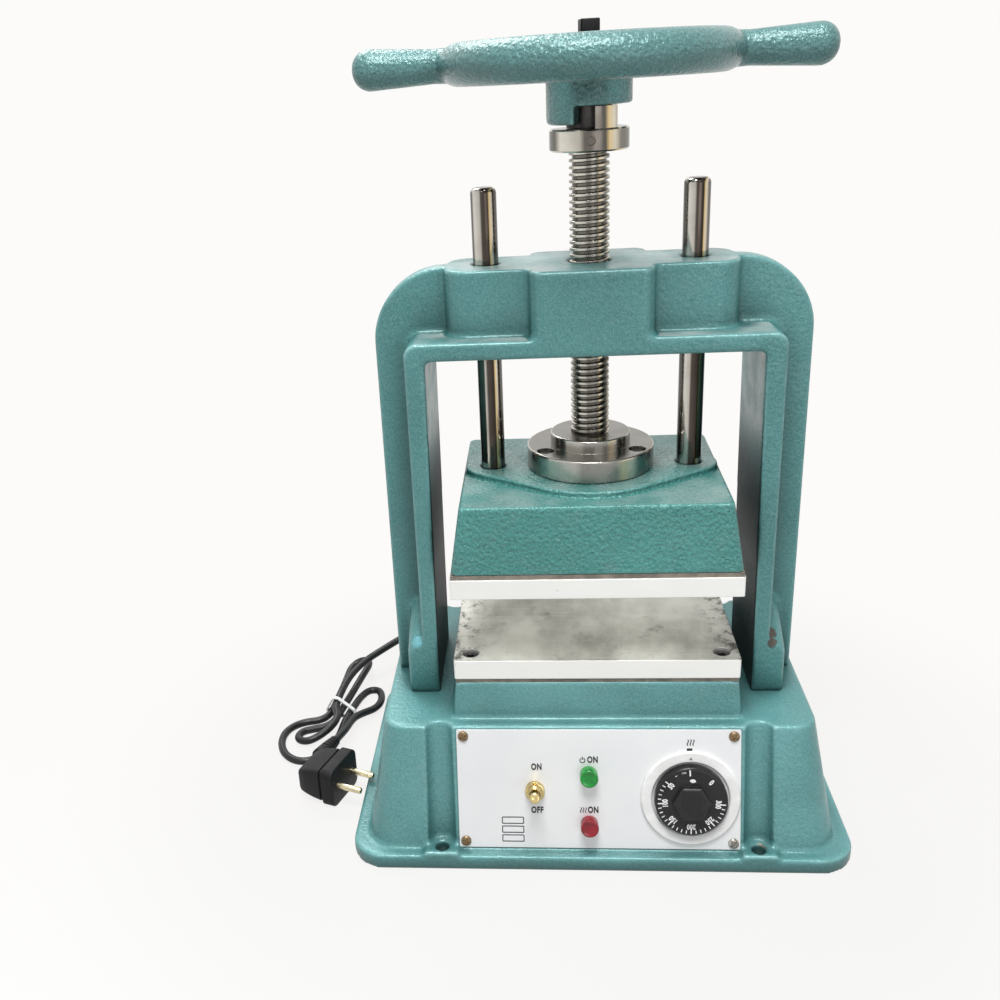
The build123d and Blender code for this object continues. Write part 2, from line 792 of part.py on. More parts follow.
# Thrust bearing under the screw
with BuildPart() as thrust_race_lower:
    with BuildSketch(Plane.XY.offset(pocket_floor)):
        Circle(bearing_radius)
        Circle(bearing_bore, mode=Mode.SUBTRACT)
    extrude(amount=race_thickness)
save(thrust_race_lower, "thrust_race_lower")

ball_circle = (bearing_radius + bearing_bore) / 2
with BuildPart() as thrust_balls:
    with PolarLocations(ball_circle, ball_count):
        with Locations((0, 0, pocket_floor + race_thickness + ball_radius)):
            Sphere(ball_radius - running_gap)
save(thrust_balls, "thrust_balls")

with BuildPart() as thrust_race_upper:
    with BuildSketch(Plane.XY.offset(pocket_floor + bearing_height - race_thickness)):
        Circle(bearing_radius)
        Circle(bearing_bore, mode=Mode.SUBTRACT)
    extrude(amount=race_thickness)
save(thrust_race_upper, "thrust_race_upper")

# Press screw: end collar, threaded length as a plain bar, spigot for the collar and the wheel
collar_foot = pocket_floor + bearing_height
with BuildPart() as press_screw:
    with BuildSketch(Plane.XZ):
        with BuildLine():
            Polyline(
                (0, collar_foot), (end_collar_radius, collar_foot),
                (end_collar_radius, collar_foot + end_collar_height),
                (screw_radius, collar_foot + end_collar_height),
                (screw_radius, dog_collar_foot), (spigot_radius, dog_collar_foot),
                (spigot_radius, spigot_top), (0, spigot_top), close=True,
            )
        make_face()
    revolve(axis=Axis.Z)
    with BuildSketch(Plane.XY.offset(spigot_top)):
        Circle(wheel_bolt_radius + press_gap)
    extrude(amount=-wheel_bolt_grip, mode=Mode.SUBTRACT)
    with BuildSketch(Plane.XZ):
        with Locations((0, dog_collar_foot + collar_height / 2)):
            Circle(pin_radius + press_gap)
    extrude(amount=spigot_radius + cut_over, both=True, mode=Mode.SUBTRACT)
save(press_screw, "press_screw")

# Dog collar pinned to the screw
with BuildPart() as dog_collar:
    with BuildSketch(Plane.XY.offset(dog_collar_foot)):
        Circle(collar_radius)
    extrude(amount=collar_height)
    chamfer(dog_collar.edges(), collar_edge)
    with BuildSketch(Plane.XY.offset(dog_collar_top - collar_edge)):
        add(ring_sector(collar_radius - collar_edge, dog_inner_radius, dog_start, dog_end))
    extrude(amount=dog_height + collar_edge)
    with BuildSketch(Plane.XY.offset(dog_collar_foot)):
        Circle(spigot_radius + press_gap)
    extrude(amount=collar_height + dog_height, mode=Mode.SUBTRACT)
    with BuildSketch(Plane.XZ):
        with Locations((0, dog_collar_foot + collar_height / 2)):
            Circle(pin_radius + press_gap)
    extrude(amount=collar_radius + cut_over, both=True, mode=Mode.SUBTRACT)
save(dog_collar, "dog_collar")

with BuildPart() as collar_pin:
    with BuildSketch(Plane.XZ):
        with Locations((0, dog_collar_foot + collar_height / 2)):
            Circle(pin_radius)
    extrude(amount=collar_radius - collar_edge, both=True)
save(collar_pin, "collar_pin")

# Cast handwheel: round rim on four spokes, hub with the driving jaw, bosses that carry the handles
jaw_outline = ring_sector(hub_radius, jaw_inner_radius, jaw_start, jaw_end)


def facing_out(turn, reach, height):
    """Plane that faces away from the machine's axis, at a distance and a height."""
    across = (cos(radians(turn)), sin(radians(turn)), 0)
    return Plane(
        origin=(reach * across[0], reach * across[1], height),
        x_dir=(-across[1], across[0], 0),
        z_dir=across,
    )


spoke_turns = [wheel_turn + 360 / spoke_count * number for number in range(spoke_count)]
boss_face = rim_radius + handle_boss_reach
with BuildPart() as handwheel:
    with BuildSketch(Plane.XZ):
        with Locations((rim_radius, rim_height)):
            Circle(rim_section_radius)
    revolve(axis=Axis.Z)
    with BuildSketch(Plane.XY.offset(hub_foot)):
        Circle(hub_radius)
    extrude(amount=hub_height)
    hub_rim = handwheel.edges().filter_by(GeomType.CIRCLE).filter_by_position(Axis.Z, hub_top, hub_top)
    fillet(hub_rim, hub_edge_round)
    for turn in spoke_turns:
        with BuildSketch(facing_out(turn, hub_radius / 2, hub_foot + spoke_hub_rise)):
            RectangleRounded(spoke_hub_width, spoke_hub_height, spoke_edge_round)
        with BuildSketch(facing_out(turn, rim_radius, rim_height)):
            RectangleRounded(spoke_rim_width, spoke_rim_height, spoke_edge_round)
        loft(ruled=True)
    for turn in (wheel_turn, wheel_turn + 180):
        with BuildSketch(facing_out(turn, rim_radius, rim_height)):
            Circle(handle_boss_radius)
        extrude(amount=handle_boss_reach)
        with BuildSketch(facing_out(turn, boss_face, rim_height)):
            Circle(handle_stud_radius + press_gap)
        extrude(amount=-handle_stud_length - blind_gap, mode=Mode.SUBTRACT)
    with BuildSketch(Plane.XY.offset(hub_foot - jaw_drop)):
        add(jaw_outline)
    extrude(amount=jaw_drop + blind_gap)
    jaw_foot = handwheel.faces().sort_by(Axis.Z)[0].edges().filter_by(GeomType.CIRCLE)
    fillet(jaw_foot.sort_by(SortBy.RADIUS)[-1], jaw_round)
    with BuildSketch(Plane.XY.offset(hub_foot - cut_over)):
        Circle(hub_bush_radius + press_gap)
    extrude(amount=hub_height + 2 * cut_over, mode=Mode.SUBTRACT)
save(handwheel, "handwheel")

for turn, handle_name in ((wheel_turn, "handle_right"), (wheel_turn + 180, "handle_left")):
    root = facing_out(turn, boss_face, rim_height)
    along_handle = Plane(origin=root.origin, x_dir=root.z_dir, z_dir=-root.x_dir)
    with BuildPart() as handle:
        with BuildSketch(along_handle) as handle_profile:
            with BuildLine():
                Polyline(
                    (-handle_stud_length, 0), (-handle_stud_length, handle_stud_radius),
                    (0, handle_stud_radius), (0, handle_root_radius),
                    (handle_length, handle_tip_radius), (handle_length, 0), close=True,
                )
            make_face()
            handle_corner = handle_profile.vertices().group_by(Axis.X)[-1].sort_by(Axis.Y)[-1]
            fillet(handle_corner, handle_end_round)
        revolve(axis=Axis(root.origin, root.z_dir))
    save(handle, handle_name)

with BuildPart() as hub_bush:
    with BuildSketch(Plane.XY.offset(dog_collar_top + seat_gap)):
        Circle(hub_bush_radius)
        Circle(spigot_radius + running_gap, mode=Mode.SUBTRACT)
    extrude(amount=hub_top - dog_collar_top - seat_gap)
save(hub_bush, "hub_bush")

# Washer and square-headed bolt that keep the wheel on the spigot
with BuildPart() as wheel_washer:
    with BuildSketch(Plane.XY.offset(spigot_top)):
        Circle(washer_radius)
        Circle(wheel_bolt_radius + bolt_gap, mode=Mode.SUBTRACT)
    extrude(amount=washer_thickness)
save(wheel_washer, "wheel_washer")

with BuildPart() as wheel_bolt:
    with BuildSketch(Plane.XY.offset(spigot_top + washer_thickness)):
        Rectangle(wheel_bolt_flat, wheel_bolt_flat, rotation=wheel_bolt_turn)
    extrude(amount=wheel_bolt_head_height)
    chamfer(wheel_bolt.faces().sort_by(Axis.Z)[-1].edges(), wheel_bolt_edge)
    with BuildSketch(Plane.XY.offset(spigot_top + washer_thickness)):
        Circle(wheel_bolt_radius)
    extrude(amount=-washer_thickness - wheel_bolt_grip + blind_gap)
save(wheel_bolt, "wheel_bolt")


def platen(back, face):
    """Aluminium platen between its back and its working face, with a heater pocket in the back."""
    inward = 1 if face > back else -1
    with BuildPart(mode=Mode.PRIVATE) as plate:
        with BuildSketch(Plane.XY.offset(back)):
            RectangleRounded(platen_width, platen_depth, platen_corner_radius)
        extrude(amount=inward * platen_thickness)
        with BuildSketch(Plane.XY.offset(back)):
            Rectangle(heater_width + 2 * heater_gap, heater_depth + 2 * heater_gap)
        extrude(amount=inward * heater_thickness, mode=Mode.SUBTRACT)
        with BuildSketch(Plane.XY.offset(back)):
            with Locations(*platen_screw_places):
                Circle(platen_screw_radius + bolt_gap)
        extrude(amount=inward * platen_thickness, mode=Mode.SUBTRACT)
        with BuildSketch(Plane.XY.offset(face)):
            with Locations(*platen_screw_places):
                Circle(platen_counterbore_radius)
        extrude(amount=-inward * platen_counterbore_depth, mode=Mode.SUBTRACT)
    return plate


def insulation_sheet(foot):
    """Sheet between a platen and the casting that carries it."""
    with BuildPart(mode=Mode.PRIVATE) as sheet:
        with BuildSketch(Plane.XY.offset(foot)):
            Rectangle(platen_width - 2 * insulation_inset, platen_depth - 2 * insulation_inset)
            with Locations(*platen_screw_places):
                Circle(platen_screw_radius + bolt_gap, mode=Mode.SUBTRACT)
        extrude(amount=insulation_thickness)
    return sheet


def heater_plate(back, inward):
    """Flat heating element in the pocket of a platen."""
    with BuildPart(mode=Mode.PRIVATE) as plate:
        with BuildSketch(Plane.XY.offset(back)):
            Rectangle(heater_width, heater_depth)
        extrude(amount=inward * (heater_thickness - heater_gap))
    return plate


def platen_cap_screws(face, inward):
    """Four socket screws sunk in the working face of a platen."""
    seat = face + inward * platen_counterbore_depth
    through_plate = platen_thickness - platen_counterbore_depth
    reach = through_plate + insulation_thickness + platen_screw_grip - blind_gap
    with BuildPart(mode=Mode.PRIVATE) as screws:
        with BuildSketch(Plane.XY.offset(seat)):
            with Locations(*platen_screw_places):
                Circle(platen_screw_head_radius)
        extrude(amount=-inward * platen_screw_head_height)
        with BuildSketch(Plane.XY.offset(seat)):
            with Locations(*platen_screw_places):
                Circle(platen_screw_radius)
        extrude(amount=inward * reach)
        with BuildSketch(Plane.XY.offset(seat - inward * platen_screw_head_height)):
            with Locations(*platen_screw_places):
                RegularPolygon(platen_screw_radius, 6)
        extrude(amount=inward * platen_screw_head_height / 2, mode=Mode.SUBTRACT)
    return screws


# Lower platen on the pedestal, upper platen under the ram head
save(insulation_sheet(pedestal_top), "insulation_lower")
save(platen(lower_platen_foot, lower_platen_top), "lower_platen")
save(heater_plate(lower_platen_foot, 1), "heater_lower")
save(platen_cap_screws(lower_platen_top, -1), "platen_screws_lower")
save(insulation_sheet(upper_platen_top), "insulation_upper")
save(platen(upper_platen_top, upper_platen_foot), "upper_platen")
save(heater_plate(upper_platen_top, -1), "heater_upper")
save(platen_cap_screws(upper_platen_foot, 1), "platen_screws_upper")

# Control panel on the sloped front wall
lamp_places = [(lamp_x, power_lamp_rise), (lamp_x, heat_lamp_rise)]
with BuildPart() as control_panel:
    with BuildSketch(front_wall):
        RectangleRounded(panel_width, panel_height, panel_corner_radius)
        with Locations((switch_x, switch_rise)):
            Circle(switch_bush_radius + bolt_gap, mode=Mode.SUBTRACT)
        with Locations(*lamp_places):
            Circle(lamp_body_radius + bolt_gap, mode=Mode.SUBTRACT)
        with Locations((dial_x, dial_rise)):
            Circle(shaft_radius + bolt_gap, mode=Mode.SUBTRACT)
        with Locations(*panel_screw_places):
            Circle(panel_screw_radius + bolt_gap, mode=Mode.SUBTRACT)
    extrude(amount=panel_thickness)
save(control_panel, "control_panel")

with BuildPart() as panel_screws:
    with BuildSketch(panel_face):
        with Locations(*panel_screw_places):
            Circle(panel_screw_head_radius)
    extrude(amount=panel_screw_head_height)
    head_rims = panel_screws.edges().filter_by(GeomType.CIRCLE).filter_by(
        lambda edge: panel_face.to_local_coords(edge.arc_center).Z > panel_screw_head_height / 2
    )
    fillet(head_rims, panel_screw_head_height / 2)
    with BuildSketch(panel_face):
        with Locations(*panel_screw_places):
            Circle(panel_screw_radius)
    extrude(amount=-panel_thickness - panel_screw_length + blind_gap)
save(panel_screws, "panel_screws")

# Toggle switch: body behind the panel with its threaded bush, round slotted nut and raised lever
bush_mouth = panel_face.offset(switch_bush_length)
pivot_plane = bush_mouth.offset(-lever_pivot_depth)
with BuildPart() as switch_body:
    with BuildSketch(front_wall):
        with Locations((switch_x, switch_rise)):
            Rectangle(switch_body_width, switch_body_height)
    extrude(amount=-switch_body_depth)
    with BuildSketch(front_wall):
        with Locations((switch_x, switch_rise)):
            Circle(switch_bush_radius)
    extrude(amount=panel_thickness + switch_bush_length)
    with BuildSketch(bush_mouth):
        with Locations((switch_x, switch_rise)):
            Circle(lever_pivot_radius + seat_gap)
    extrude(amount=-switch_mouth_depth, mode=Mode.SUBTRACT)
    with BuildSketch(bush_mouth):
        with Locations((switch_x, switch_rise)):
            Circle(switch_mouth_radius)
    with BuildSketch(pivot_plane):
        with Locations((switch_x, switch_rise)):
            Circle(lever_pivot_radius + seat_gap)
    loft(mode=Mode.SUBTRACT)
save(switch_body, "switch_body")

with BuildPart() as switch_nut:
    with BuildSketch(panel_face):
        with Locations((switch_x, switch_rise)):
            Circle(switch_nut_radius)
            Circle(switch_bush_radius + press_gap, mode=Mode.SUBTRACT)
    extrude(amount=switch_nut_height)
    with BuildSketch(panel_face.offset(switch_nut_height)):
        with Locations((switch_x, switch_rise)):
            Rectangle(switch_nut_slot_width, 2 * switch_nut_radius)
    extrude(amount=-switch_nut_slot_depth, mode=Mode.SUBTRACT)
save(switch_nut, "switch_nut")

lever_pivot = pivot_plane.from_local_coords((switch_x, switch_rise, 0))
lever_direction = front_wall.z_dir.rotate(Axis.X, -lever_tilt)
along_lever = Plane(origin=lever_pivot, x_dir=lever_direction, z_dir=(1, 0, 0))
with BuildPart() as switch_lever:
    with BuildSketch(along_lever) as lever_profile:
        with BuildLine():
            Polyline(
                (0, 0), (0, lever_root_radius), (lever_length, lever_tip_radius),
                (lever_length, 0), close=True,
            )
        make_face()
        lever_corner = lever_profile.vertices().group_by(Axis.X)[-1].sort_by(Axis.Y)[-1]
        fillet(lever_corner, lever_tip_round)
    revolve(axis=Axis(lever_pivot, lever_direction))
    with Locations(lever_pivot):
        Sphere(lever_pivot_radius)
save(switch_lever, "switch_lever")

# Signal lamps, each a body through the panel and a coloured lens on its face
for lamp_name, lamp_rise in (("power", power_lamp_rise), ("heat", heat_lamp_rise)):
    with BuildPart() as lamp_body:
        with BuildSketch(panel_face):
            with Locations((lamp_x, lamp_rise)):
                Circle(lamp_body_radius)
        extrude(amount=-lamp_body_length)
    save(lamp_body, f"lamp_body_{lamp_name}")
    with BuildPart() as lamp_lens:
        with BuildSketch(panel_face):
            with Locations((lamp_x, lamp_rise)):
                Circle(lens_radius)
        extrude(amount=lens_length)
        lens_front = lamp_lens.edges().filter_by(GeomType.CIRCLE).sort_by(Axis.Y)[0]
        fillet(lens_front, lens_round)
    save(lamp_lens, f"lamp_lens_{lamp_name}")

# Thermostat behind the panel, white bezel ring, black dial on its shaft
with BuildPart() as dial_bezel:
    with BuildSketch(panel_face):
        with Locations((dial_x, dial_rise)):
            Circle(bezel_radius)
            Circle(bezel_bore, mode=Mode.SUBTRACT)
    extrude(amount=bezel_thickness)
    bezel_edges = dial_bezel.edges().filter_by(GeomType.CIRCLE).filter_by(
        lambda edge: panel_face.to_local_coords(edge.arc_center).Z > bezel_thickness / 2
    )
    chamfer(bezel_edges, bezel_edge)
save(dial_bezel, "dial_bezel")

with BuildPart() as thermostat_body:
    with BuildSketch(front_wall):
        with Locations((dial_x, dial_rise)):
            Rectangle(thermostat_width, thermostat_height)
    extrude(amount=-thermostat_depth)
    with BuildSketch(front_wall):
        with Locations((dial_x, dial_rise)):
            Circle(shaft_radius + running_gap)
    extrude(amount=-shaft_in_body, mode=Mode.SUBTRACT)
save(thermostat_body, "thermostat_body")

knob_back = panel_face.offset(knob_lift)
with BuildPart() as dial_knob:
    with BuildSketch(knob_back):
        with Locations((dial_x, dial_rise)):
            Circle(knob_radius)
    extrude(amount=knob_disc_height)
    knob_rim = dial_knob.edges().filter_by(GeomType.CIRCLE).filter_by(
        lambda edge: knob_back.to_local_coords(edge.arc_center).Z > knob_disc_height / 2
    )
    fillet(knob_rim, knob_edge_round)
    with BuildSketch(knob_back):
        with Locations((dial_x, dial_rise)):
            RegularPolygon(knob_grip_radius, 6)
    extrude(amount=knob_grip_height)
    knob_grip = dial_knob.edges().filter_by(
        lambda edge: knob_back.to_local_coords(edge.center()).Z > (knob_disc_height + knob_grip_height) / 2
    )
    fillet(knob_grip, knob_edge_round)
    with BuildSketch(knob_back):
        with Locations((dial_x, dial_rise)):
            Circle(shaft_radius + press_gap)
    extrude(amount=shaft_in_knob, mode=Mode.SUBTRACT)
save(dial_knob, "dial_knob")

with BuildPart() as dial_shaft:
    with BuildSketch(knob_back.offset(shaft_in_knob)):
        with Locations((dial_x, dial_rise)):
            Circle(shaft_radius)
    extrude(amount=-shaft_in_knob - knob_lift - panel_thickness - shaft_in_body + seat_gap)
save(dial_shaft, "dial_shaft")

# Terminal block on the bottom cover
with BuildPart() as terminal_block:
    with BuildSketch(Plane.XY.offset(cover_thickness)):
        with Locations((0, terminal_y)):
            Rectangle(terminal_width, terminal_depth)
    extrude(amount=terminal_height)
save(terminal_block, "terminal_block")

# Moulded gland that holds the lead in the rear wall
gland_face = rear_wall.offset(gland_flange_thickness)
gland_mouth = gland_face.offset(gland_tail_length)
with BuildPart() as cord_gland:
    with BuildSketch(rear_wall):
        Circle(gland_flange_radius)
    extrude(amount=gland_flange_thickness)
    with BuildSketch(rear_wall):
        Circle(gland_hole_radius - press_gap)
    extrude(amount=-wall - gland_inner_length)
    with BuildSketch(gland_face):
        Circle(gland_hole_radius)
    with BuildSketch(gland_mouth):
        Circle(gland_tail_radius)
    loft(ruled=True)
save(cord_gland, "cord_gland")

# Route of the mains lead: an arc behind the base, then a hank of folded loops held by a tie
stretch_route = [
    (-76, 142, 48.8), (-82.5, 156, 47.5), (-97, 165.5, 45), (-115, 168, 42), (-133, 163, 38.7),
    (-149, 152.5, 35.5), (-162.5, 141.5, 32.3), (-174, 131, 29.5), (-185.5, 120.5, 26.5),
    (-195, 108.5, 22.5), (-201.2, 95.5, 18),
]
hank_route = [
    (-206, 69.5, 11.9), (-201, 57, 11.2), (-203.6, 45, 9.6), (-212.5, 35, 6.6), (-222.5, 30, 4.2),
    (-231.5, 35.5, 3.3), (-230, 45.5, 3.3), (-221, 49.5, 3.3), (-212, 52, 3.4), (-206, 57.5, 4.2),
    (-203.4, 65, 5), (-200.9, 80, 5), (-197.5, 95, 6), (-193.5, 110, 8.5), (-189, 124, 12),
    (-186.3, 135.5, 13), (-189.3, 146, 11.5), (-198.3, 149.2, 8.5), (-204.8, 142, 5.5), (-206, 129, 3.8),
    (-207, 112, 3.5), (-208.2, 94, 4.2), (-209, 78, 5), (-211, 66.5, 4.8), (-218, 61, 3.8),
    (-228.5, 60, 3.3), (-238, 54, 3.3), (-243.5, 43, 3.3), (-243, 28.5, 3.3), (-237, 14.5, 3.3),
    (-226, 5.5, 3.3), (-214.5, 6, 3.3), (-206, 15.5, 3.3), (-200, 29, 3.3), (-197.5, 44, 3.4),
    (-196.8, 57, 4.2), (-194.4, 70, 5), (-191.6, 84, 4.6), (-189, 97.5, 3.6), (-183.6, 108.6, 3.3),
    (-174.6, 108, 3.6), (-170.8, 97.5, 4), (-170.8, 85.5, 4.5), (-174.5, 75.5, 5.5), (-181.5, 68, 7),
    (-187.3, 60, 8.5), (-190, 49.5, 10), (-191.2, 38.5, 11.5), (-193.6, 27.5, 12.9), (-196.6, 17, 14.2),
]
bend_share = 0.45             # of the shorter run beside a corner, taken up by its arc
points_per_diameter = 4       # how closely the gap between the loops is measured


def bend_radii(route):
    """The largest arc at each inner point of a route that its two runs allow."""
    radii = []
    for before, corner, after in zip(route, route[1:], route[2:]):
        half_turn = radians((corner - before).get_angle(after - corner)) / 2
        shorter = min((corner - before).length, (after - corner).length)
        radii.append(bend_share * shorter / tan(half_turn))
    return radii


def lead_tube(route):
    """Round tube along a route, as straight runs joined by tangent arcs."""
    radii = bend_radii(route)
    with BuildPart(mode=Mode.PRIVATE) as tube:
        with BuildLine() as path:
            FilletPolyline(*route, radius=radii)
        with BuildSketch(Plane(origin=route[0], z_dir=route[1] - route[0])):
            Circle(cord_radius)
        sweep(path=path.wires()[0])
    return tube, path.wires()[0], radii


def least_self_gap(wire):
    """Least space between two stretches of a tube that lie along different parts of its wire."""
    count = int(points_per_diameter * wire.length / (2 * cord_radius))
    places = [wire @ (number / count) for number in range(count + 1)]
    apart = 2 * points_per_diameter + points_per_diameter // 2
    return min(
        (places[late] - places[early]).length
        for early in range(count + 1)
        for late in range(early + apart, count + 1)
    ) - 2 * cord_radius


lead_join = (Vector(*stretch_route[-1]) + Vector(*hank_route[0])) / 2
stretch_points = [gland_mouth.origin] + [Vector(*point) for point in stretch_route] + [lead_join]
hank_points = [lead_join] + [Vector(*point) for point in hank_route]
for lead_name, lead_points in (("lead_stretch", stretch_points), ("lead_hank", hank_points)):
    tube, wire, radii = lead_tube(lead_points)
    section = pi * cord_radius**2
    print(lead_name, "radii", [round(radius, 1) for radius in radii])
    print(lead_name, "volume", round(tube.part.volume), "section by length", round(section * wire.length))
    print(lead_name, "least gap to itself", round(least_self_gap(wire), 2))
    save(tube, lead_name)

# Tie round the four strands of the hank
tie_place = (-202.6, 73.5, 0)
tie_reach = 15.0              # to each side, the strands that the tie takes in
tie_middle = Plane(origin=tie_place, x_dir=(0.98, -0.2, 0), z_dir=(0.2, 0.98, 0))


def strands_in_tie():
    """Where the runs of the hank pass through the tie, in the tie's own plane."""
    places = []
    for start, finish in zip(hank_points, hank_points[1:]):
        before = (start - tie_middle.origin).dot(tie_middle.z_dir)
        after = (finish - tie_middle.origin).dot(tie_middle.z_dir)
        if before * after < 0:
            place = tie_middle.to_local_coords(start + (finish - start) * (before / (before - after)))
            if abs(place.X) < tie_reach:
                places.append((place.X, place.Y))
    return places


strand_places = strands_in_tie()
print("strands in the tie", [(round(x, 2), round(y, 2)) for x, y in strand_places])


def strand_hull(radius):
    """Outline pulled tight round the strands, at a radius from their centres."""
    with BuildSketch(mode=Mode.PRIVATE) as hull:
        with BuildLine():
            for x, y in strand_places:
                CenterArc((x, y), radius, 0, 360)
        make_hull()
    return hull.sketch


tie_inside = strand_hull(cord_radius + tie_gap)
tie_outside = strand_hull(cord_radius + tie_gap + tie_thickness)
with BuildPart() as lead_tie:
    with BuildSketch(tie_middle.offset(-tie_width / 2)):
        add(tie_outside)
        add(tie_inside, mode=Mode.SUBTRACT)
    extrude(amount=tie_width)
save(lead_tie, "lead_tie")

# Two-pin plug on its side, its pins level
plug_toward = Vector(cos(radians(plug_turn)), sin(radians(plug_turn)), 0)
plug_across = Vector(-sin(radians(plug_turn)), cos(radians(plug_turn)), 0)
plug_face = Plane(origin=(-180.6, -31.5, plug_face_height / 2), x_dir=plug_across, z_dir=plug_toward)
cord_end = hank_points[-1]
tail_plane = Plane(origin=cord_end, z_dir=cord_end - hank_points[-2])
with BuildPart() as plug_body:
    with BuildSketch(plug_face):
        RectangleRounded(plug_face_length, plug_face_height, plug_face_corner)
    extrude(amount=-plug_face_thickness)
    plug_rim = plug_body.edges().filter_by(
        lambda edge: plug_face.to_local_coords(edge.center()).Z > -plug_edge_round
    )
    fillet(plug_rim, plug_edge_round)
    with BuildSketch(plug_face.offset(-plug_face_thickness)):
        RectangleRounded(
            plug_face_length - 2 * plug_shoulder, plug_face_height - 2 * plug_shoulder, plug_back_corner
        )
    with BuildSketch(plug_face.offset(-plug_depth)):
        RectangleRounded(plug_back_length, plug_back_height, plug_back_corner)
    loft(ruled=True)
    with BuildSketch(tail_plane):
        Circle(plug_tail_end_radius)
    with BuildSketch(tail_plane.offset(plug_tail_length)):
        Circle(plug_tail_radius)
    loft(ruled=True)
    with BuildSketch(tail_plane.offset(plug_tail_length)):
        Circle(plug_tail_radius)
    extrude(amount=plug_tail_inset)
save(plug_body, "plug_body")

with BuildPart() as plug_pins:
    with BuildSketch(plug_face):
        with Locations((-pin_pitch / 2, 0), (pin_pitch / 2, 0)):
            Circle(plug_pin_radius)
    extrude(amount=plug_pin_length)
    pin_tips = plug_pins.edges().filter_by(GeomType.CIRCLE).filter_by(
        lambda edge: plug_face.to_local_coords(edge.arc_center).Z > plug_pin_length / 2
    )
    fillet(pin_tips, plug_pin_round)
save(plug_pins, "plug_pins")
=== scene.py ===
import json
import math

import bmesh
import bpy
from bpy.props import FloatProperty, FloatVectorProperty, IntProperty, PointerProperty
from mathutils import Matrix, Vector

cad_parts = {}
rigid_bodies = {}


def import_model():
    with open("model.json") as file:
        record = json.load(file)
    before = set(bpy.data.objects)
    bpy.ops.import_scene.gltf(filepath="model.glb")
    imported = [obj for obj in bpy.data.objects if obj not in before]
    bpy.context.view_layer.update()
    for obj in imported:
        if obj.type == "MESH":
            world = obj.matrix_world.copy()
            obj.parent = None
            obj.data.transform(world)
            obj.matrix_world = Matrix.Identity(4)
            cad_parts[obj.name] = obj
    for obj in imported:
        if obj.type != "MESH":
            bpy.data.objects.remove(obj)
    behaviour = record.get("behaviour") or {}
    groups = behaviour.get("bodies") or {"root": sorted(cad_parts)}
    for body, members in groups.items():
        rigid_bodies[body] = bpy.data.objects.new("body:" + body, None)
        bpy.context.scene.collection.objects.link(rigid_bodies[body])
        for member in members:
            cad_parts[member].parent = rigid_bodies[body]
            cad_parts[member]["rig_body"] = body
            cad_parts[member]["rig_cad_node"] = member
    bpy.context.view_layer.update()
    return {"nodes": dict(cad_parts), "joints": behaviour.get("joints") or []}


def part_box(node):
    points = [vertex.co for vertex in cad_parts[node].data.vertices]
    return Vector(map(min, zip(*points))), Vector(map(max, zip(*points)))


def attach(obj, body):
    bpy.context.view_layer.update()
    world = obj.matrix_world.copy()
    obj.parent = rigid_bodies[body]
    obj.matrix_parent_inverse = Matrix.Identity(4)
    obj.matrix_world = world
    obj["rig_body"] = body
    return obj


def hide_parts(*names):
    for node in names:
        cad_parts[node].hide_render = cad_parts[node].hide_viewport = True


bl_info = {
    "name": "Mold Vulcanizer",
    "version": (1, 0, 0),
    "blender": (4, 5, 0),
    "location": "3D View > Sidebar > Vulcanizer",
    "description": "Dresses the solids of a bench vulcanizer for jewelry molds",
    "category": "Object",
}

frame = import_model()
NODES = frame["nodes"]
JOINTS = {joint["name"]: joint for joint in frame["joints"]}
RIGHT = Vector((1, 0, 0))
MOST_TRIANGLES = 150000
SAME_POINT = 0.000005
WHITE_BEHIND = (0.975, 0.965, 0.950)

# Shape of the printed letters, as shares of the font's size, their height and their width
CAPITAL_SHARE = 0.72
STROKE_SHARE = 0.055
LETTER_SPACE = 1.12
LETTER_NARROWING = 0.72

# Painted reflection: colours that upright bright steel takes from the left to the right of its front
BANDS = (
    (0.00, (0.10, 0.10, 0.10)), (0.07, (0.14, 0.14, 0.13)), (0.13, (0.95, 0.93, 0.90)),
    (0.36, (0.66, 0.64, 0.60)), (0.42, (0.13, 0.11, 0.10)), (0.68, (0.055, 0.045, 0.04)),
    (0.73, (1.0, 0.76, 0.40)), (0.80, (0.92, 0.86, 0.76)), (0.87, (0.26, 0.24, 0.22)),
    (1.00, (0.09, 0.09, 0.09)),
)

# The control panel's own axes, from the dial's joint, whose axis points into the panel
PANEL_OUT = -Vector(JOINTS["dial_turn"]["axis"]).normalized()
PANEL_UP = PANEL_OUT.cross(RIGHT)
PANEL_THICKNESS = 0.0012
PANEL_LOW, PANEL_HIGH = (Vector(corner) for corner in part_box("control_panel"))
PANEL_MIDDLE = (PANEL_LOW + PANEL_HIGH) / 2 + PANEL_OUT * PANEL_THICKNESS / 2
DIAL_MIDDLE = Vector(JOINTS["dial_turn"]["pos_m"])
SWITCH_PLACE = (-0.0407, -0.0007)
LAMPS_ACROSS = -0.0056

# Where the photograph was taken from, found from the machine's corners in it
IMAGE_WIDTH = 1000
FOCAL_PIXELS = 1074.1
SENSOR_WIDTH = 36.0
CAMERA_PLACE = Vector((-0.0310, -0.6791, 0.4895))
CAMERA_PITCH = math.radians(21.75)
CAMERA_ROLL = math.radians(3.42)
CAMERA_YAW = math.radians(-6.11)
CAMERA_SHIFT = (0.0626, 0.0049)

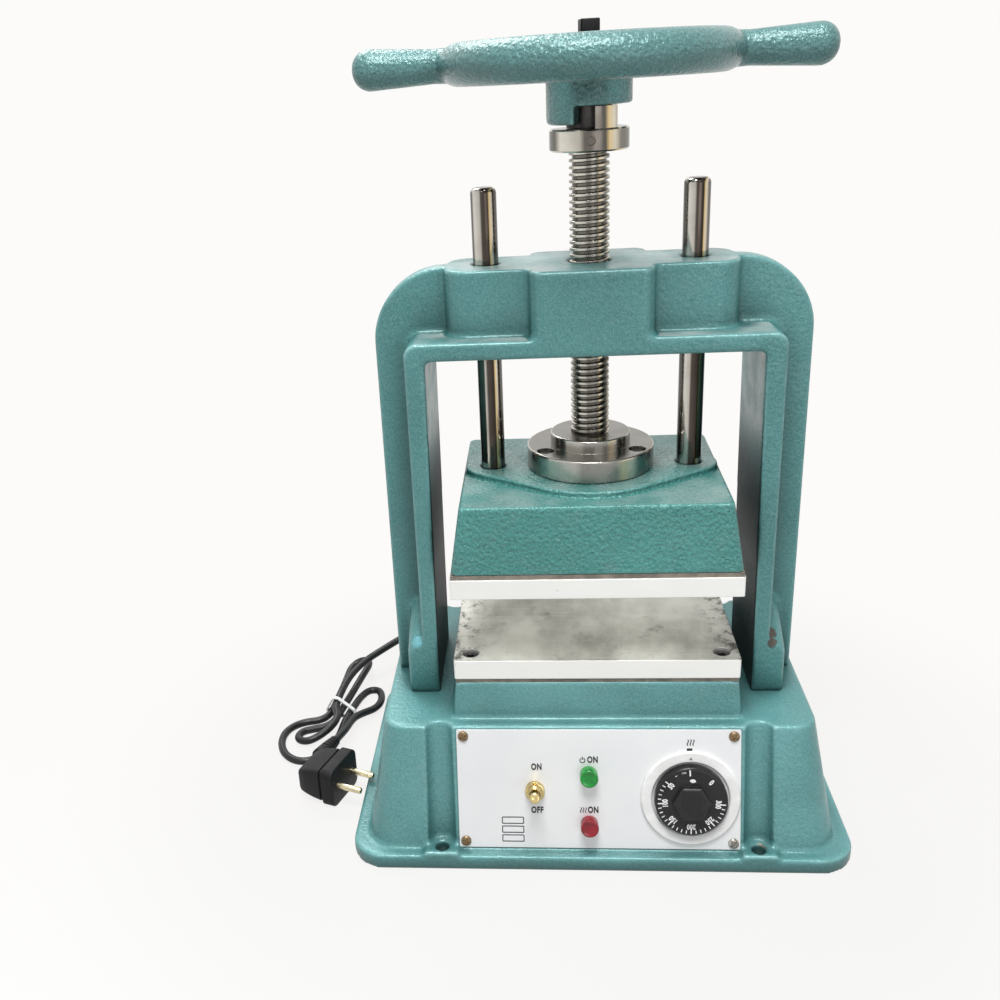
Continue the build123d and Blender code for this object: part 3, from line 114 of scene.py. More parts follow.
# Route of the mains lead, as in the part's source: an arc behind the base, then a tied hank
LEAD_EXIT = (-0.076, 0.12727, 0.04747)
LEAD_STRETCH = [
    (-0.076, 0.142, 0.0488), (-0.0825, 0.156, 0.0475), (-0.097, 0.1655, 0.045),
    (-0.115, 0.168, 0.042), (-0.133, 0.163, 0.0387), (-0.149, 0.1525, 0.0355),
    (-0.1625, 0.1415, 0.0323), (-0.174, 0.131, 0.0295), (-0.1855, 0.1205, 0.0265),
    (-0.195, 0.1085, 0.0225), (-0.2012, 0.0955, 0.018),
]
LEAD_HANK = [
    (-0.206, 0.0695, 0.0119), (-0.201, 0.057, 0.0112), (-0.2036, 0.045, 0.0096),
    (-0.2125, 0.035, 0.0066), (-0.2225, 0.030, 0.0042), (-0.2315, 0.0355, 0.0033),
    (-0.230, 0.0455, 0.0033), (-0.221, 0.0495, 0.0033), (-0.212, 0.052, 0.0034),
    (-0.206, 0.0575, 0.0042), (-0.2034, 0.065, 0.005), (-0.2009, 0.080, 0.005),
    (-0.1975, 0.095, 0.006), (-0.1935, 0.110, 0.0085), (-0.189, 0.124, 0.012),
    (-0.1863, 0.1355, 0.013), (-0.1893, 0.146, 0.0115), (-0.1983, 0.1492, 0.0085),
    (-0.2048, 0.142, 0.0055), (-0.206, 0.129, 0.0038), (-0.207, 0.112, 0.0035),
    (-0.2082, 0.094, 0.0042), (-0.209, 0.078, 0.005), (-0.211, 0.0665, 0.0048),
    (-0.218, 0.061, 0.0038), (-0.2285, 0.060, 0.0033), (-0.238, 0.054, 0.0033),
    (-0.2435, 0.043, 0.0033), (-0.243, 0.0285, 0.0033), (-0.237, 0.0145, 0.0033),
    (-0.226, 0.0055, 0.0033), (-0.2145, 0.006, 0.0033), (-0.206, 0.0155, 0.0033),
    (-0.200, 0.029, 0.0033), (-0.1975, 0.044, 0.0034), (-0.1968, 0.057, 0.0042),
    (-0.1944, 0.070, 0.005), (-0.1916, 0.084, 0.0046), (-0.189, 0.0975, 0.0036),
    (-0.1836, 0.1086, 0.0033), (-0.1746, 0.108, 0.0036), (-0.1708, 0.0975, 0.004),
    (-0.1708, 0.0855, 0.0045), (-0.1745, 0.0755, 0.0055), (-0.1815, 0.068, 0.007),
    (-0.1873, 0.060, 0.0085), (-0.190, 0.0495, 0.010), (-0.1912, 0.0385, 0.0115),
    (-0.1936, 0.0275, 0.0129), (-0.1966, 0.017, 0.0142),
]

# Where the plug and the lead's gland stand
PLUG_FACE = Vector((-0.1806, -0.0315, 0.0153))
PLUG_PINS_TO = Vector((0.9397, -0.3420, 0))
PLUG_ACROSS = Vector((0.3420, 0.9397, 0))
GLAND_WALL = Vector((-0.076, 0.0999, 0.045))
GLAND_OUT = Vector((0, 0.996, 0.090)).normalized()


def length_setting(name, about, default):
    """A length among the scene's settings."""
    return FloatProperty(name=name, description=about, default=default, unit="LENGTH")


def colour_setting(name, about, default):
    """A colour among the scene's settings."""
    return FloatVectorProperty(name=name, description=about, default=default, subtype="COLOR")


class VulcanizerSizes(bpy.types.PropertyGroup):
    """Sizes of the pieces that the solids leave plain"""

    thread_pitch: length_setting("Thread pitch", "Rise of the press screw in one turn", 0.004)
    thread_depth: length_setting("Thread depth", "From the crest of the screw thread to its root", 0.0019)
    cord_diameter: length_setting("Cord diameter", "Outside of the mains lead", 0.006)
    letter_height: length_setting("Letter height", "Height of the letters on the panel", 0.0042)
    number_height: length_setting("Number height", "Height of the numbers on the dial", 0.0034)
    ink_thickness: length_setting("Ink thickness", "How far printed marks stand off their surface", 0.00008)
    wheel_voxel: length_setting(
        "Wheel voxel", "Grain of the remesh that rounds the handwheel's corners", 0.0011
    )
    casting_voxel: length_setting(
        "Casting voxel", "Grain of the remesh that rounds the large castings' corners", 0.0014
    )
    round_steps: IntProperty(
        name="Round steps", description="Sides of a turned piece", default=64, min=12,
    )


class VulcanizerColours(bpy.types.PropertyGroup):
    """Colours of the finishes"""

    paint: colour_setting("Paint", "Hammered green-blue paint on the castings", (0.086, 0.275, 0.267))
    # Darker paint for the clouds, also the painted shade in the castings' creases and enclosed hollows
    paint_deep: colour_setting("Deep paint", "Paint in the hollows of the casting", (0.046, 0.182, 0.174))
    # Lighter paint for the fine grain, also the painted highlight on the castings' edges, partly rubbed wear
    paint_worn: colour_setting("Worn paint", "Paint rubbed bright on the edges", (0.33, 0.58, 0.58))
    steel: colour_setting("Steel", "Threaded steel", (0.78, 0.76, 0.70))
    aluminium: colour_setting("Aluminium", "Ground platen", (0.89, 0.89, 0.865))
    brass: colour_setting("Brass", "Toggle switch", (0.62, 0.50, 0.24))
    panel: colour_setting("Panel", "Pale panel sheet", (0.81, 0.815, 0.82))
    ink: colour_setting("Ink", "Printed marks", (0.018, 0.018, 0.020))
    green_lens: colour_setting("Green lens", "Upper signal lamp", (0.0, 0.33, 0.035))
    red_lens: colour_setting("Red lens", "Lower signal lamp", (0.33, 0.006, 0.018))
    rubber: colour_setting("Rubber", "Lead and plug", (0.010, 0.010, 0.011))


# Selecting and shaping


def select_nothing():
    """Leave edit mode if it is on, and select nothing."""
    if bpy.context.mode != "OBJECT":
        bpy.ops.object.mode_set(mode="OBJECT")
    bpy.ops.object.select_all(action="DESELECT")


def activate(piece):
    """Select one piece alone and make it the active one."""
    select_nothing()
    piece.select_set(True)
    bpy.context.view_layer.objects.active = piece


def start_edit(piece, mode="FACE"):
    """Open a piece in edit mode with nothing selected."""
    activate(piece)
    bpy.ops.object.mode_set(mode="EDIT")
    bpy.ops.mesh.select_mode(type=mode)
    bpy.ops.mesh.select_all(action="DESELECT")


def choose(piece, kind, test):
    """In edit mode, select the vertices, edges or faces that pass a test."""
    bpy.ops.mesh.select_all(action="DESELECT")
    shape = bmesh.from_edit_mesh(piece.data)
    for item in getattr(shape, kind):
        if test(item):
            item.select_set(True)
    shape.select_flush_mode()
    bmesh.update_edit_mesh(piece.data)


def choose_all():
    """In edit mode, select everything."""
    bpy.ops.mesh.select_all(action="SELECT")


def choose_upright(piece, shortest=0.00001):
    """In edit mode, select the edges that rise at least so far."""
    choose(piece, "edges", lambda edge: abs(edge.verts[0].co.z - edge.verts[1].co.z) > shortest)


def face_outwards():
    """In edit mode, turn every face outwards, then leave edit mode."""
    choose_all()
    bpy.ops.mesh.normals_make_consistent(inside=False)
    bpy.ops.object.mode_set(mode="OBJECT")


def extrude(step):
    """In edit mode, draw what is selected out along a step."""
    bpy.ops.mesh.extrude_region_move(TRANSFORM_OT_translate={"value": step})


def hold_place(piece):
    """Take a piece's place, turn and scale into its mesh."""
    activate(piece)
    bpy.ops.object.transform_apply(location=True, rotation=True, scale=True)


def named(name):
    """Name the piece that an operator has just added."""
    piece = bpy.context.view_layer.objects.active
    piece.name = name
    piece.data.name = name
    return piece


def turned(name, profile, steps):
    """A round solid about Z: a disc extruded and scaled through (radius, height) pairs."""
    radius, height = profile[0]
    select_nothing()
    bpy.ops.mesh.primitive_circle_add(
        vertices=steps, radius=radius, fill_type="NGON", location=(0, 0, height)
    )
    piece = named(name)
    hold_place(piece)
    start_edit(piece)
    choose_all()
    for (before, low), (after, high) in zip(profile, profile[1:]):
        extrude((0, 0, high - low))
        share = after / before
        bpy.ops.transform.resize(value=(share, share, 1), center_override=(0, 0, high))
    face_outwards()
    return piece


def block(name, size, middle=(0, 0, 0)):
    """A box of a size about a middle, its scale applied."""
    select_nothing()
    bpy.ops.mesh.primitive_cube_add(size=1, location=middle)
    piece = named(name)
    piece.scale = size
    hold_place(piece)
    return piece


def ink_bar(name, width, height, corner, segments=2):
    """A thin bar of ink with softened corners."""
    bar = block(name, (width, height, sizes().ink_thickness))
    start_edit(bar, "EDGE")
    choose_upright(bar)
    bpy.ops.mesh.bevel(offset=corner, segments=segments)
    bpy.ops.object.mode_set(mode="OBJECT")
    return bar


def joined(name, pieces):
    """Join pieces into one."""
    select_nothing()
    for piece in pieces:
        piece.select_set(True)
    bpy.context.view_layer.objects.active = pieces[0]
    bpy.ops.object.join()
    return named(name)


def copied(piece, name):
    """A copy of a piece with its own mesh."""
    twin = piece.copy()
    twin.data = piece.data.copy()
    twin.name = name
    twin.data.name = name
    bpy.context.scene.collection.objects.link(twin)
    return twin


def apply_modifiers(piece):
    """Apply every modifier of a piece, in order."""
    activate(piece)
    for modifier in list(piece.modifiers):
        bpy.ops.object.modifier_apply(modifier=modifier.name)


def carve(piece, cutters):
    """Cut blocks out of a piece, and take the blocks away."""
    for cutter in cutters:
        cut = piece.modifiers.new("cut", "BOOLEAN")
        cut.operation = "DIFFERENCE"
        cut.object = cutter
    apply_modifiers(piece)
    for cutter in cutters:
        bpy.data.objects.remove(cutter)


def softened(nodes, name, voxel, passes, cutters=()):
    """Solids copied as one casting with rounded corners: cut, remeshed, smoothed and thinned."""
    twins = []
    for node in nodes:
        twin = copied(NODES[node], f"{name}_{node}")
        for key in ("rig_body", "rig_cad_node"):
            if key in twin:
                del twin[key]
        twin.parent = None
        start_edit(twin, "VERT")
        choose_all()
        bpy.ops.mesh.remove_doubles(threshold=SAME_POINT)
        bpy.ops.object.mode_set(mode="OBJECT")
        twins.append(twin)
    twin = joined(name, twins)
    carve(twin, cutters)
    grain = twin.modifiers.new("grain", "REMESH")
    grain.mode = "VOXEL"
    grain.voxel_size = voxel
    soften = twin.modifiers.new("soften", "SMOOTH")
    soften.factor = 0.5
    soften.iterations = passes
    apply_modifiers(twin)
    triangles = 2 * len(twin.data.polygons)
    if triangles > MOST_TRIANGLES:
        thin = twin.modifiers.new("thin", "DECIMATE")
        thin.ratio = MOST_TRIANGLES / triangles
        apply_modifiers(twin)
    return twin


def axes_matrix(origin, across, out):
    """Matrix whose X lies near one direction and whose Z points along another."""
    z = Vector(out).normalized()
    y = z.cross(Vector(across)).normalized()
    x = y.cross(z)
    turn = Matrix((x, y, z)).transposed().to_4x4()
    return Matrix.Translation(Vector(origin)) @ turn


def on_panel(x, rise, lift=0.0, turn=0.0):
    """Matrix of a place on the panel's face, in metres from its middle."""
    origin = PANEL_MIDDLE + RIGHT * x + PANEL_UP * rise + PANEL_OUT * lift
    return axes_matrix(origin, RIGHT, PANEL_OUT) @ Matrix.Rotation(turn, 4, "Z")


def on_dial(x, y, lift, turn=0.0):
    """Matrix of a place over the dial, in metres from its centre on the panel's face."""
    return (
        axes_matrix(DIAL_MIDDLE, RIGHT, PANEL_OUT)
        @ Matrix.Translation((x, y, lift))
        @ Matrix.Rotation(turn, 4, "Z")
    )


def settle(piece, place, body, finish, smooth=35):
    """Give a shaped piece its place in its mesh, its shading, its finish by name and its body."""
    piece.matrix_world = place
    hold_place(piece)
    bpy.ops.object.shade_smooth_by_angle(angle=math.radians(smooth))
    piece.data.materials.clear()
    piece.data.materials.append(finish_named(finish))
    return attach(piece, body)


def lettering(name, words, height):
    """Narrow words in ink, as a thin mesh centred on the origin and facing up Z."""
    select_nothing()
    bpy.ops.object.text_add(location=(0, 0, 0))
    text = bpy.context.view_layer.objects.active
    text.data.body = words
    text.data.size = height / CAPITAL_SHARE
    text.data.align_x = "CENTER"
    text.data.align_y = "CENTER"
    text.data.extrude = sizes().ink_thickness
    text.data.offset = height * STROKE_SHARE
    text.data.space_character = LETTER_SPACE
    bpy.ops.object.convert(target="MESH")
    mark = named(name)
    mark.scale = (LETTER_NARROWING, 1, 1)
    hold_place(mark)
    return mark


# Finishes


class Finish:
    """A material under construction, with the texture nodes that finishes share."""

    def __init__(self, name, **constants):
        self.material = bpy.data.materials.new(name)
        self.material.use_nodes = True
        self.tree = self.material.node_tree
        self.shader = self.tree.nodes["Principled BSDF"]
        self.place = self.node("ShaderNodeTexCoord").outputs["Object"]
        for socket, value in constants.items():
            self.shader.inputs[socket.replace("_", " ")].default_value = value

    def node(self, kind, settings=None, sockets=None):
        """A node with its settings and its inputs, which are values or sockets to link."""
        made = self.tree.nodes.new(kind)
        for key, value in (settings or {}).items():
            setattr(made, key, value)
        for key, value in (sockets or {}).items():
            if isinstance(value, bpy.types.NodeSocket):
                self.tree.links.new(value, made.inputs[key])
            else:
                made.inputs[key].default_value = value
        return made

    def stretched(self, stretch, turn=(0, 0, 0)):
        """Object coordinates scaled along each axis."""
        settings = {"Vector": self.place, "Scale": stretch, "Rotation": turn}
        return self.node("ShaderNodeMapping", {}, settings).outputs[0]

    def noise(self, scale, detail=3.0, roughness=0.5, place=None):
        """Noise from 0 to 1 with a scale per metre."""
        sockets = {
            "Vector": place or self.place, "Scale": scale, "Detail": detail, "Roughness": roughness,
        }
        return self.node("ShaderNodeTexNoise", {}, sockets).outputs[0]

    def cells(self, scale, smoothness):
        """Distance to the nearest of scattered points, smoothed."""
        settings = {"feature": "SMOOTH_F1"}
        sockets = {"Vector": self.place, "Scale": scale, "Smoothness": smoothness}
        return self.node("ShaderNodeTexVoronoi", settings, sockets).outputs["Distance"]

    def between(self, value, low, high, to_low=0.0, to_high=1.0):
        """A value mapped from one range to another and kept inside it."""
        settings = {"interpolation_type": "SMOOTHSTEP"}
        sockets = {"Value": value, "From Min": low, "From Max": high}
        sockets.update({"To Min": to_low, "To Max": to_high})
        return self.node("ShaderNodeMapRange", settings, sockets).outputs["Result"]

    def math(self, operation, first, second=0.5):
        """Result of a sum on two values."""
        return self.node("ShaderNodeMath", {"operation": operation}, {0: first, 1: second}).outputs[0]

    def mix(self, share, first, second, blend="MIX"):
        """One colour laid over another by a share."""
        colours = [
            value if isinstance(value, bpy.types.NodeSocket) else (*value[:3], 1)
            for value in (first, second)
        ]
        settings = {"data_type": "RGBA", "blend_type": blend}
        return self.node("ShaderNodeMix", settings, {0: share, 6: colours[0], 7: colours[1]}).outputs[2]

    def lay(self, base, mask, share, colour):
        """A colour laid over a base where a mask shows it, by a share."""
        return self.mix(self.math("MULTIPLY", mask, share), base, colour)

    def facing(self, letter):
        """One part of the surface's normal."""
        normal = self.node("ShaderNodeNewGeometry").outputs["Normal"]
        return self.node("ShaderNodeSeparateXYZ", {}, {0: normal}).outputs[letter]

    def axis(self, letter):
        """One of the object coordinates."""
        return self.node("ShaderNodeSeparateXYZ", {}, {0: self.place}).outputs[letter]

    def near(self, centre, reach):
        """A ragged patch, 1 at its centre and 0 past its reach."""
        sockets = {0: self.place, 1: centre}
        distance = self.node("ShaderNodeVectorMath", {"operation": "DISTANCE"}, sockets).outputs["Value"]
        wobble = self.math("MULTIPLY", self.math("SUBTRACT", self.noise(260), 0.5), reach * 0.7)
        return self.between(self.math("ADD", distance, wobble), reach * 0.75, reach, 1.0, 0.0)

    def rounded(self, radius):
        """Normal of the surface with its edges rounded."""
        return self.node("ShaderNodeBevel", {"samples": 6}, {"Radius": radius}).outputs[0]

    def edges(self, soft, low, high):
        """A share that rises on edges, where a rounded normal leaves the flat one."""
        flat = self.node("ShaderNodeNewGeometry").outputs["Normal"]
        together = self.node("ShaderNodeVectorMath", {"operation": "DOT_PRODUCT"}, {0: flat, 1: soft})
        return self.between(together.outputs["Value"], high, low, 0.0, 1.0)

    def bump(self, height, distance, strength, normal=None):
        """Normal with a height laid on it."""
        sockets = {"Height": height, "Distance": distance, "Strength": strength}
        if normal is not None:
            sockets["Normal"] = normal
        return self.node("ShaderNodeBump", {}, sockets).outputs[0]

    def drive(self, base, gloss=None, skin=None):
        """The material, with its colour, its roughness and its normal linked."""
        for socket, value in (("Base Color", base), ("Roughness", gloss), ("Normal", skin)):
            if value is not None:
                self.tree.links.new(value, self.shader.inputs[socket])
        return self.material


def seen_share(tree):
    """1 for rays that show the background: from the camera, in a reflection or through glass."""
    path = tree.nodes.new("ShaderNodeLightPath")
    either = tree.nodes.new("ShaderNodeMath")
    either.operation = "MAXIMUM"
    seen = tree.nodes.new("ShaderNodeMath")
    seen.operation = "MAXIMUM"
    tree.links.new(path.outputs["Is Camera Ray"], either.inputs[0])
    tree.links.new(path.outputs["Is Glossy Ray"], either.inputs[1])
    tree.links.new(either.outputs[0], seen.inputs[0])
    tree.links.new(path.outputs["Is Transmission Ray"], seen.inputs[1])
    return seen.outputs[0]


def colours():
    """Colours of the finishes, as the scene holds them."""
    return bpy.context.scene.vulcanizer_colours


def sizes():
    """Sizes of the pieces, as the scene holds them."""
    return bpy.context.scene.vulcanizer_sizes


def cast_paint(
    name, tint, peel=0.00012, deep=0.0, gloss=0.34, pits=0.45, top_paling=0.0, patches=(), shade=None
):
    """Hammered paint over a rough casting: grain, clouds, specks, painted glints, painted highlight with
    some rubbed wear on edges, painted shade in creases and enclosed hollows, paler upward faces, patches,
    and painted shade where a mask asks.
    """
    palette = colours()
    paint = [part * share for part, share in zip(palette.paint, tint)]
    paint_deep = [part * share for part, share in zip(palette.paint_deep, tint)]
    finish = Finish(name, Metallic=0.12, Coat_Weight=0.10, Coat_Roughness=0.20, Specular_IOR_Level=0.40)
    clouds = finish.between(finish.noise(16, 3.0, 0.5), 0.30 + deep, 0.70 + deep, 0.15, 0.85)
    base = finish.mix(clouds, paint_deep, paint)
    blotches = finish.between(finish.noise(75, 4.0, 0.6), 0.52, 0.75)
    base = finish.lay(base, blotches, 0.30, (0.115, 0.215, 0.205))
    grain = finish.between(finish.noise(950, 2.0, 0.65), 0.34, 0.68)
    base = finish.lay(base, grain, 0.20, palette.paint_worn)
    # Painted glints: sparse bright specks stand in for the sparkle of the paint's metal flake
    painted_glints = finish.between(finish.noise(1500, 1.0), 0.74, 0.80)
    base = finish.lay(base, painted_glints, 0.65, (0.66, 0.84, 0.82))
    specks = finish.between(finish.noise(700, 2.0), 0.34, 0.27)
    base = finish.lay(base, specks, pits, (0.022, 0.075, 0.070))
    point = finish.node("ShaderNodeNewGeometry").outputs["Pointiness"]
    # Painted highlight on convex edges, partly rubbed wear, made ragged by a noise
    chance = finish.between(finish.noise(120, 4.0), 0.30, 0.65, 0.25, 0.85)
    rubbed = finish.math("MULTIPLY", finish.between(point, 0.515, 0.57), chance)
    base = finish.mix(rubbed, base, palette.paint_worn)
    # Painted shade: concave creases darkened towards the deeper paint
    painted_hollow_shade = finish.between(point, 0.495, 0.455, 0.0, 0.6)
    base = finish.mix(painted_hollow_shade, base, paint_deep)
    # Painted shade: what ambient occlusion finds enclosed is darkened to a deep copy of the paint
    open_share = finish.node("ShaderNodeAmbientOcclusion", {"samples": 8}, {"Distance": 0.030}).outputs["AO"]
    painted_occlusion_shade = finish.between(open_share, 0.95, 0.40, 0.0, 0.85)
    base = finish.mix(painted_occlusion_shade, base, [part * 0.40 for part in paint_deep])
    # Paler grey-teal laid on upward faces, in patches
    paling_patches = finish.between(finish.noise(35), 0.3, 0.7)
    pale_tops = finish.math("MULTIPLY", finish.between(finish.facing("Z"), 0.94, 0.995), paling_patches)
    base = finish.lay(base, pale_tops, top_paling, (0.46, 0.53, 0.52))
    for centre, reach, colour in patches:
        base = finish.mix(finish.near(centre, reach), base, colour)
    hammer = finish.bump(finish.cells(420, 0.9), peel * 4, 0.5)
    skin = finish.bump(finish.noise(1000, 3.0), peel * 1.4, 0.8, hammer)
    sheen = finish.between(finish.noise(60, 4.0), 0.3, 0.7, gloss - 0.05, gloss + 0.08)
    # Painted shade: where the mask asks, the paint is darkened nearly to black and made rough
    if shade is not None:
        painted_shade_mask = shade(finish)
        base = finish.mix(painted_shade_mask, base, (0.010, 0.022, 0.024))
        sheen = finish.math("MAXIMUM", sheen, finish.math("MULTIPLY", painted_shade_mask, 0.75))
    return finish.drive(base, sheen, skin)


def leg_insides(finish):
    """1 on the insides of the arch's legs, where shade is painted dark, fading out towards its beam."""
    inward = finish.math("MULTIPLY", finish.facing("X"), finish.math("SIGN", finish.axis("X")))
    inside = finish.between(inward, -0.6, -0.9)
    low = finish.between(finish.axis("Z"), 0.325, 0.215)
    return finish.math("MULTIPLY", inside, low)


def reflected_bands(finish, base, share):
    """Painted reflection: dark and warm upright bands, as a room lays them on bright round steel."""
    ramp = finish.node("ShaderNodeValToRGB")
    place = finish.math("MULTIPLY_ADD", finish.facing("X"), 0.5)
    place.node.inputs[2].default_value = 0.5
    finish.tree.links.new(place, ramp.inputs[0])
    stops = ramp.color_ramp.elements
    while len(stops) < len(BANDS):
        stops.new(1.0)
    for stop, (where, colour) in zip(stops, BANDS):
        stop.position = where
        stop.color = (*colour, 1)
    return finish.mix(share, base, finish.mix(1.0, base, ramp.outputs[0], "MULTIPLY"))


def machined_steel(name, colour, roughness, stained=0.0, bands=0.0, root=None):
    """Turned steel with fine rings about the Z axis, smears, rust, painted reflection bands by a share, and
    dark brown painted shade in the thread's roots.
    """
    finish = Finish(name, Metallic=1.0)
    across = finish.axis("X")
    along = finish.axis("Y")
    squares = [finish.math("MULTIPLY", part, part) for part in (across, along)]
    radius = finish.math("SQRT", finish.math("ADD", *squares))
    rings = finish.node("ShaderNodeCombineXYZ", {}, {0: radius, 2: finish.axis("Z")}).outputs[0]
    lines = finish.noise(2600, 2.0, 0.6, rings)
    smears = finish.between(finish.noise(60, 4.0), 0.35, 0.7)
    base = finish.lay(colour, smears, 0.35, [part * 0.72 for part in colour])
    rust = finish.between(finish.noise(190, 5.0, 0.65), 0.56, 0.74)
    base = finish.lay(base, rust, stained, (0.20, 0.115, 0.055))
    # Painted reflection: the dark and warm bands, laid by their share
    if bands:
        base = reflected_bands(finish, base, bands)
    # Painted shade: the thread's roots darkened nearly to black
    if root is not None:
        painted_hollow_shade = finish.between(radius, root + 0.0011, root + 0.0003)
        base = finish.lay(base, painted_hollow_shade, 0.8, (0.055, 0.048, 0.040))
    gloss = finish.between(smears, 0.0, 1.0, roughness, roughness + 0.12)
    soft = finish.rounded(0.0004)
    return finish.drive(base, gloss, finish.bump(lines, 0.00002, 0.5, soft))


def dark_steel(name, colour=(0.045, 0.043, 0.042), roughness=0.42):
    """Blackened fastener steel, rubbed grey on its edges."""
    finish = Finish(name, Metallic=0.85)
    soft = finish.rounded(0.0004)
    rubbed = finish.edges(soft, 0.88, 0.985)
    base = finish.mix(finish.noise(500, 3.0), colour, [part * 2.1 for part in colour])
    base = finish.lay(base, rubbed, 0.6, (0.30, 0.29, 0.28))
    skin = finish.bump(finish.noise(1700, 2.0), 0.00003, 0.5, soft)
    gloss = finish.between(finish.noise(300), 0.3, 0.7, roughness - 0.08, roughness + 0.1)
    return finish.drive(base, gloss, skin)


def chrome(name):
    """Hard chrome on the guide rods, with faint wipe marks along them and painted reflection bands."""
    finish = Finish(name, Metallic=1.0)
    wiped = finish.noise(900, 2.0, 0.5, finish.stretched((1, 1, 0.06)))
    worn = finish.between(finish.noise(45, 4.0), 0.4, 0.75)
    # Painted reflection: the full bands laid over the worn chrome
    base = reflected_bands(finish, finish.mix(worn, (0.70, 0.68, 0.65), (0.56, 0.54, 0.50)), 1.0)
    gloss = finish.between(wiped, 0.3, 0.75, 0.07, 0.16)
    skin = finish.bump(wiped, 0.000006, 0.4, finish.rounded(0.0006))
    return finish.drive(base, gloss, skin)


def ground_platen(name, face=None):
    """Ground aluminium: bright milled edges, and a face clouded with grey-brown stains and scratches."""
    finish = Finish(name, Metallic=0.75, Specular_IOR_Level=0.5)
    lines = finish.noise(1500, 3.0, 0.6, finish.stretched((0.03, 1, 1)))
    scratch = finish.noise(600, 2.0, 0.4, finish.stretched((0.04, 1.4, 1), (0, 0, 0.35)))
    scratches = finish.between(scratch, 0.67, 0.72)
    spots = finish.between(finish.noise(230, 4.0, 0.6), 0.68, 0.76)
    base = finish.lay(colours().aluminium, lines, 0.12, (0.70, 0.69, 0.66))
    base = finish.lay(base, spots, 0.35, (0.42, 0.40, 0.36))
    if face is not None:
        low, high = face
        worked = finish.between(finish.axis("Z"), low, high)
        clouds = finish.between(finish.noise(20, 5.0, 0.62, finish.stretched((1.0, 0.55, 1.0))), 0.30, 0.66)
        top = finish.mix(clouds, (0.44, 0.435, 0.385), (0.86, 0.86, 0.79))
        stains = finish.between(finish.noise(46, 6.0, 0.7), 0.55, 0.70)
        top = finish.lay(top, stains, 0.55, (0.235, 0.225, 0.19))
        streaks = finish.between(finish.noise(260, 3.0, 0.5, finish.stretched((0.10, 1, 1))), 0.55, 0.75)
        top = finish.lay(top, streaks, 0.30, (0.78, 0.78, 0.74))
        grime = finish.math("ABSOLUTE", finish.axis("X"))
        edge = finish.between(grime, 0.068, 0.090)
        spatter = finish.between(finish.noise(150, 5.0, 0.7), 0.48, 0.66)
        top = finish.lay(top, edge, spatter, (0.125, 0.12, 0.105))
        base = finish.mix(worked, base, top)
    base = finish.lay(base, scratches, 0.35, (0.95, 0.95, 0.94))
    gloss = finish.between(finish.noise(60, 4.0), 0.3, 0.7, 0.34, 0.48)
    skin = finish.bump(lines, 0.00002, 0.6, finish.rounded(0.0006))
    return finish.drive(base, gloss, skin)


def plain_metal(name, colour, roughness):
    """Sheet, bush or pin metal with fine lines and dull patches."""
    finish = Finish(name, Metallic=1.0)
    lines = finish.noise(1400, 2.0, 0.5, finish.stretched((0.08, 1, 1)))
    patches = finish.between(finish.noise(130, 4.0), 0.35, 0.7)
    base = finish.mix(patches, colour, [part * 0.78 for part in colour])
    gloss = finish.between(patches, 0.0, 1.0, roughness, roughness + 0.14)
    skin = finish.bump(lines, 0.00001, 0.5, finish.rounded(0.0003))
    return finish.drive(base, gloss, skin)


def panel_sheet(name):
    """Pale anodised sheet, lightly brushed, with small brown freckles and a dull haze."""
    finish = Finish(name, Metallic=0.25, Specular_IOR_Level=0.5)
    brushed = finish.noise(2300, 2.0, 0.5, finish.stretched((0.02, 1, 1)))
    haze = finish.between(finish.noise(22, 3.0), 0.3, 0.75)
    base = finish.lay(colours().panel, haze, 0.35, (0.70, 0.72, 0.74))
    freckles = finish.between(finish.noise(330, 3.0, 0.7), 0.735, 0.77)
    base = finish.lay(base, freckles, 0.55, (0.40, 0.31, 0.22))
    gloss = finish.between(brushed, 0.3, 0.7, 0.30, 0.40)
    skin = finish.bump(brushed, 0.000008, 0.4, finish.rounded(0.0003))
    return finish.drive(base, gloss, skin)


def moulded(name, colour, roughness, grain=1500, depth=0.00002, shine=0.5):
    """Moulded plastic or rubber with a fine grain and faint rub marks."""
    finish = Finish(name, Specular_IOR_Level=shine)
    rub = finish.between(finish.noise(90, 4.0), 0.4, 0.72)
    lighter = [min(1.0, part * 1.35 + 0.006) for part in colour]
    base = finish.lay(colour, rub, 0.5, lighter)
    gloss = finish.between(rub, 0.0, 1.0, roughness, roughness + 0.13)
    skin = finish.bump(finish.noise(grain, 3.0), depth, 0.6, finish.rounded(0.0005))
    return finish.drive(base, gloss, skin)


def lens_plastic(name, colour):
    """Clear tinted plastic of a signal lamp, deeper in scattered patches."""
    finish = Finish(name, Transmission_Weight=0.12, IOR=1.45, Coat_Weight=0.15, Coat_Roughness=0.08)
    deeper = finish.between(finish.noise(160, 3.0), 0.3, 0.75)
    base = finish.mix(deeper, colour, [part * 0.62 for part in colour])
    gloss = finish.between(finish.noise(420), 0.3, 0.7, 0.10, 0.20)
    skin = finish.bump(finish.noise(700), 0.00003, 0.4)
    return finish.drive(base, gloss, skin)


def insulation_board(name):
    """Pressed heat-proof board, grey-brown and fibrous."""
    finish = Finish(name, Specular_IOR_Level=0.25)
    fibres = finish.noise(1400, 4.0, 0.7, finish.stretched((0.2, 1, 1)))
    dark = finish.between(finish.noise(120, 4.0), 0.35, 0.7)
    base = finish.mix(dark, (0.27, 0.235, 0.195), (0.12, 0.105, 0.09))
    base = finish.lay(base, fibres, 0.4, (0.42, 0.38, 0.32))
    gloss = finish.between(fibres, 0.3, 0.7, 0.7, 0.9)
    return finish.drive(base, gloss, finish.bump(fibres, 0.00012, 0.7))


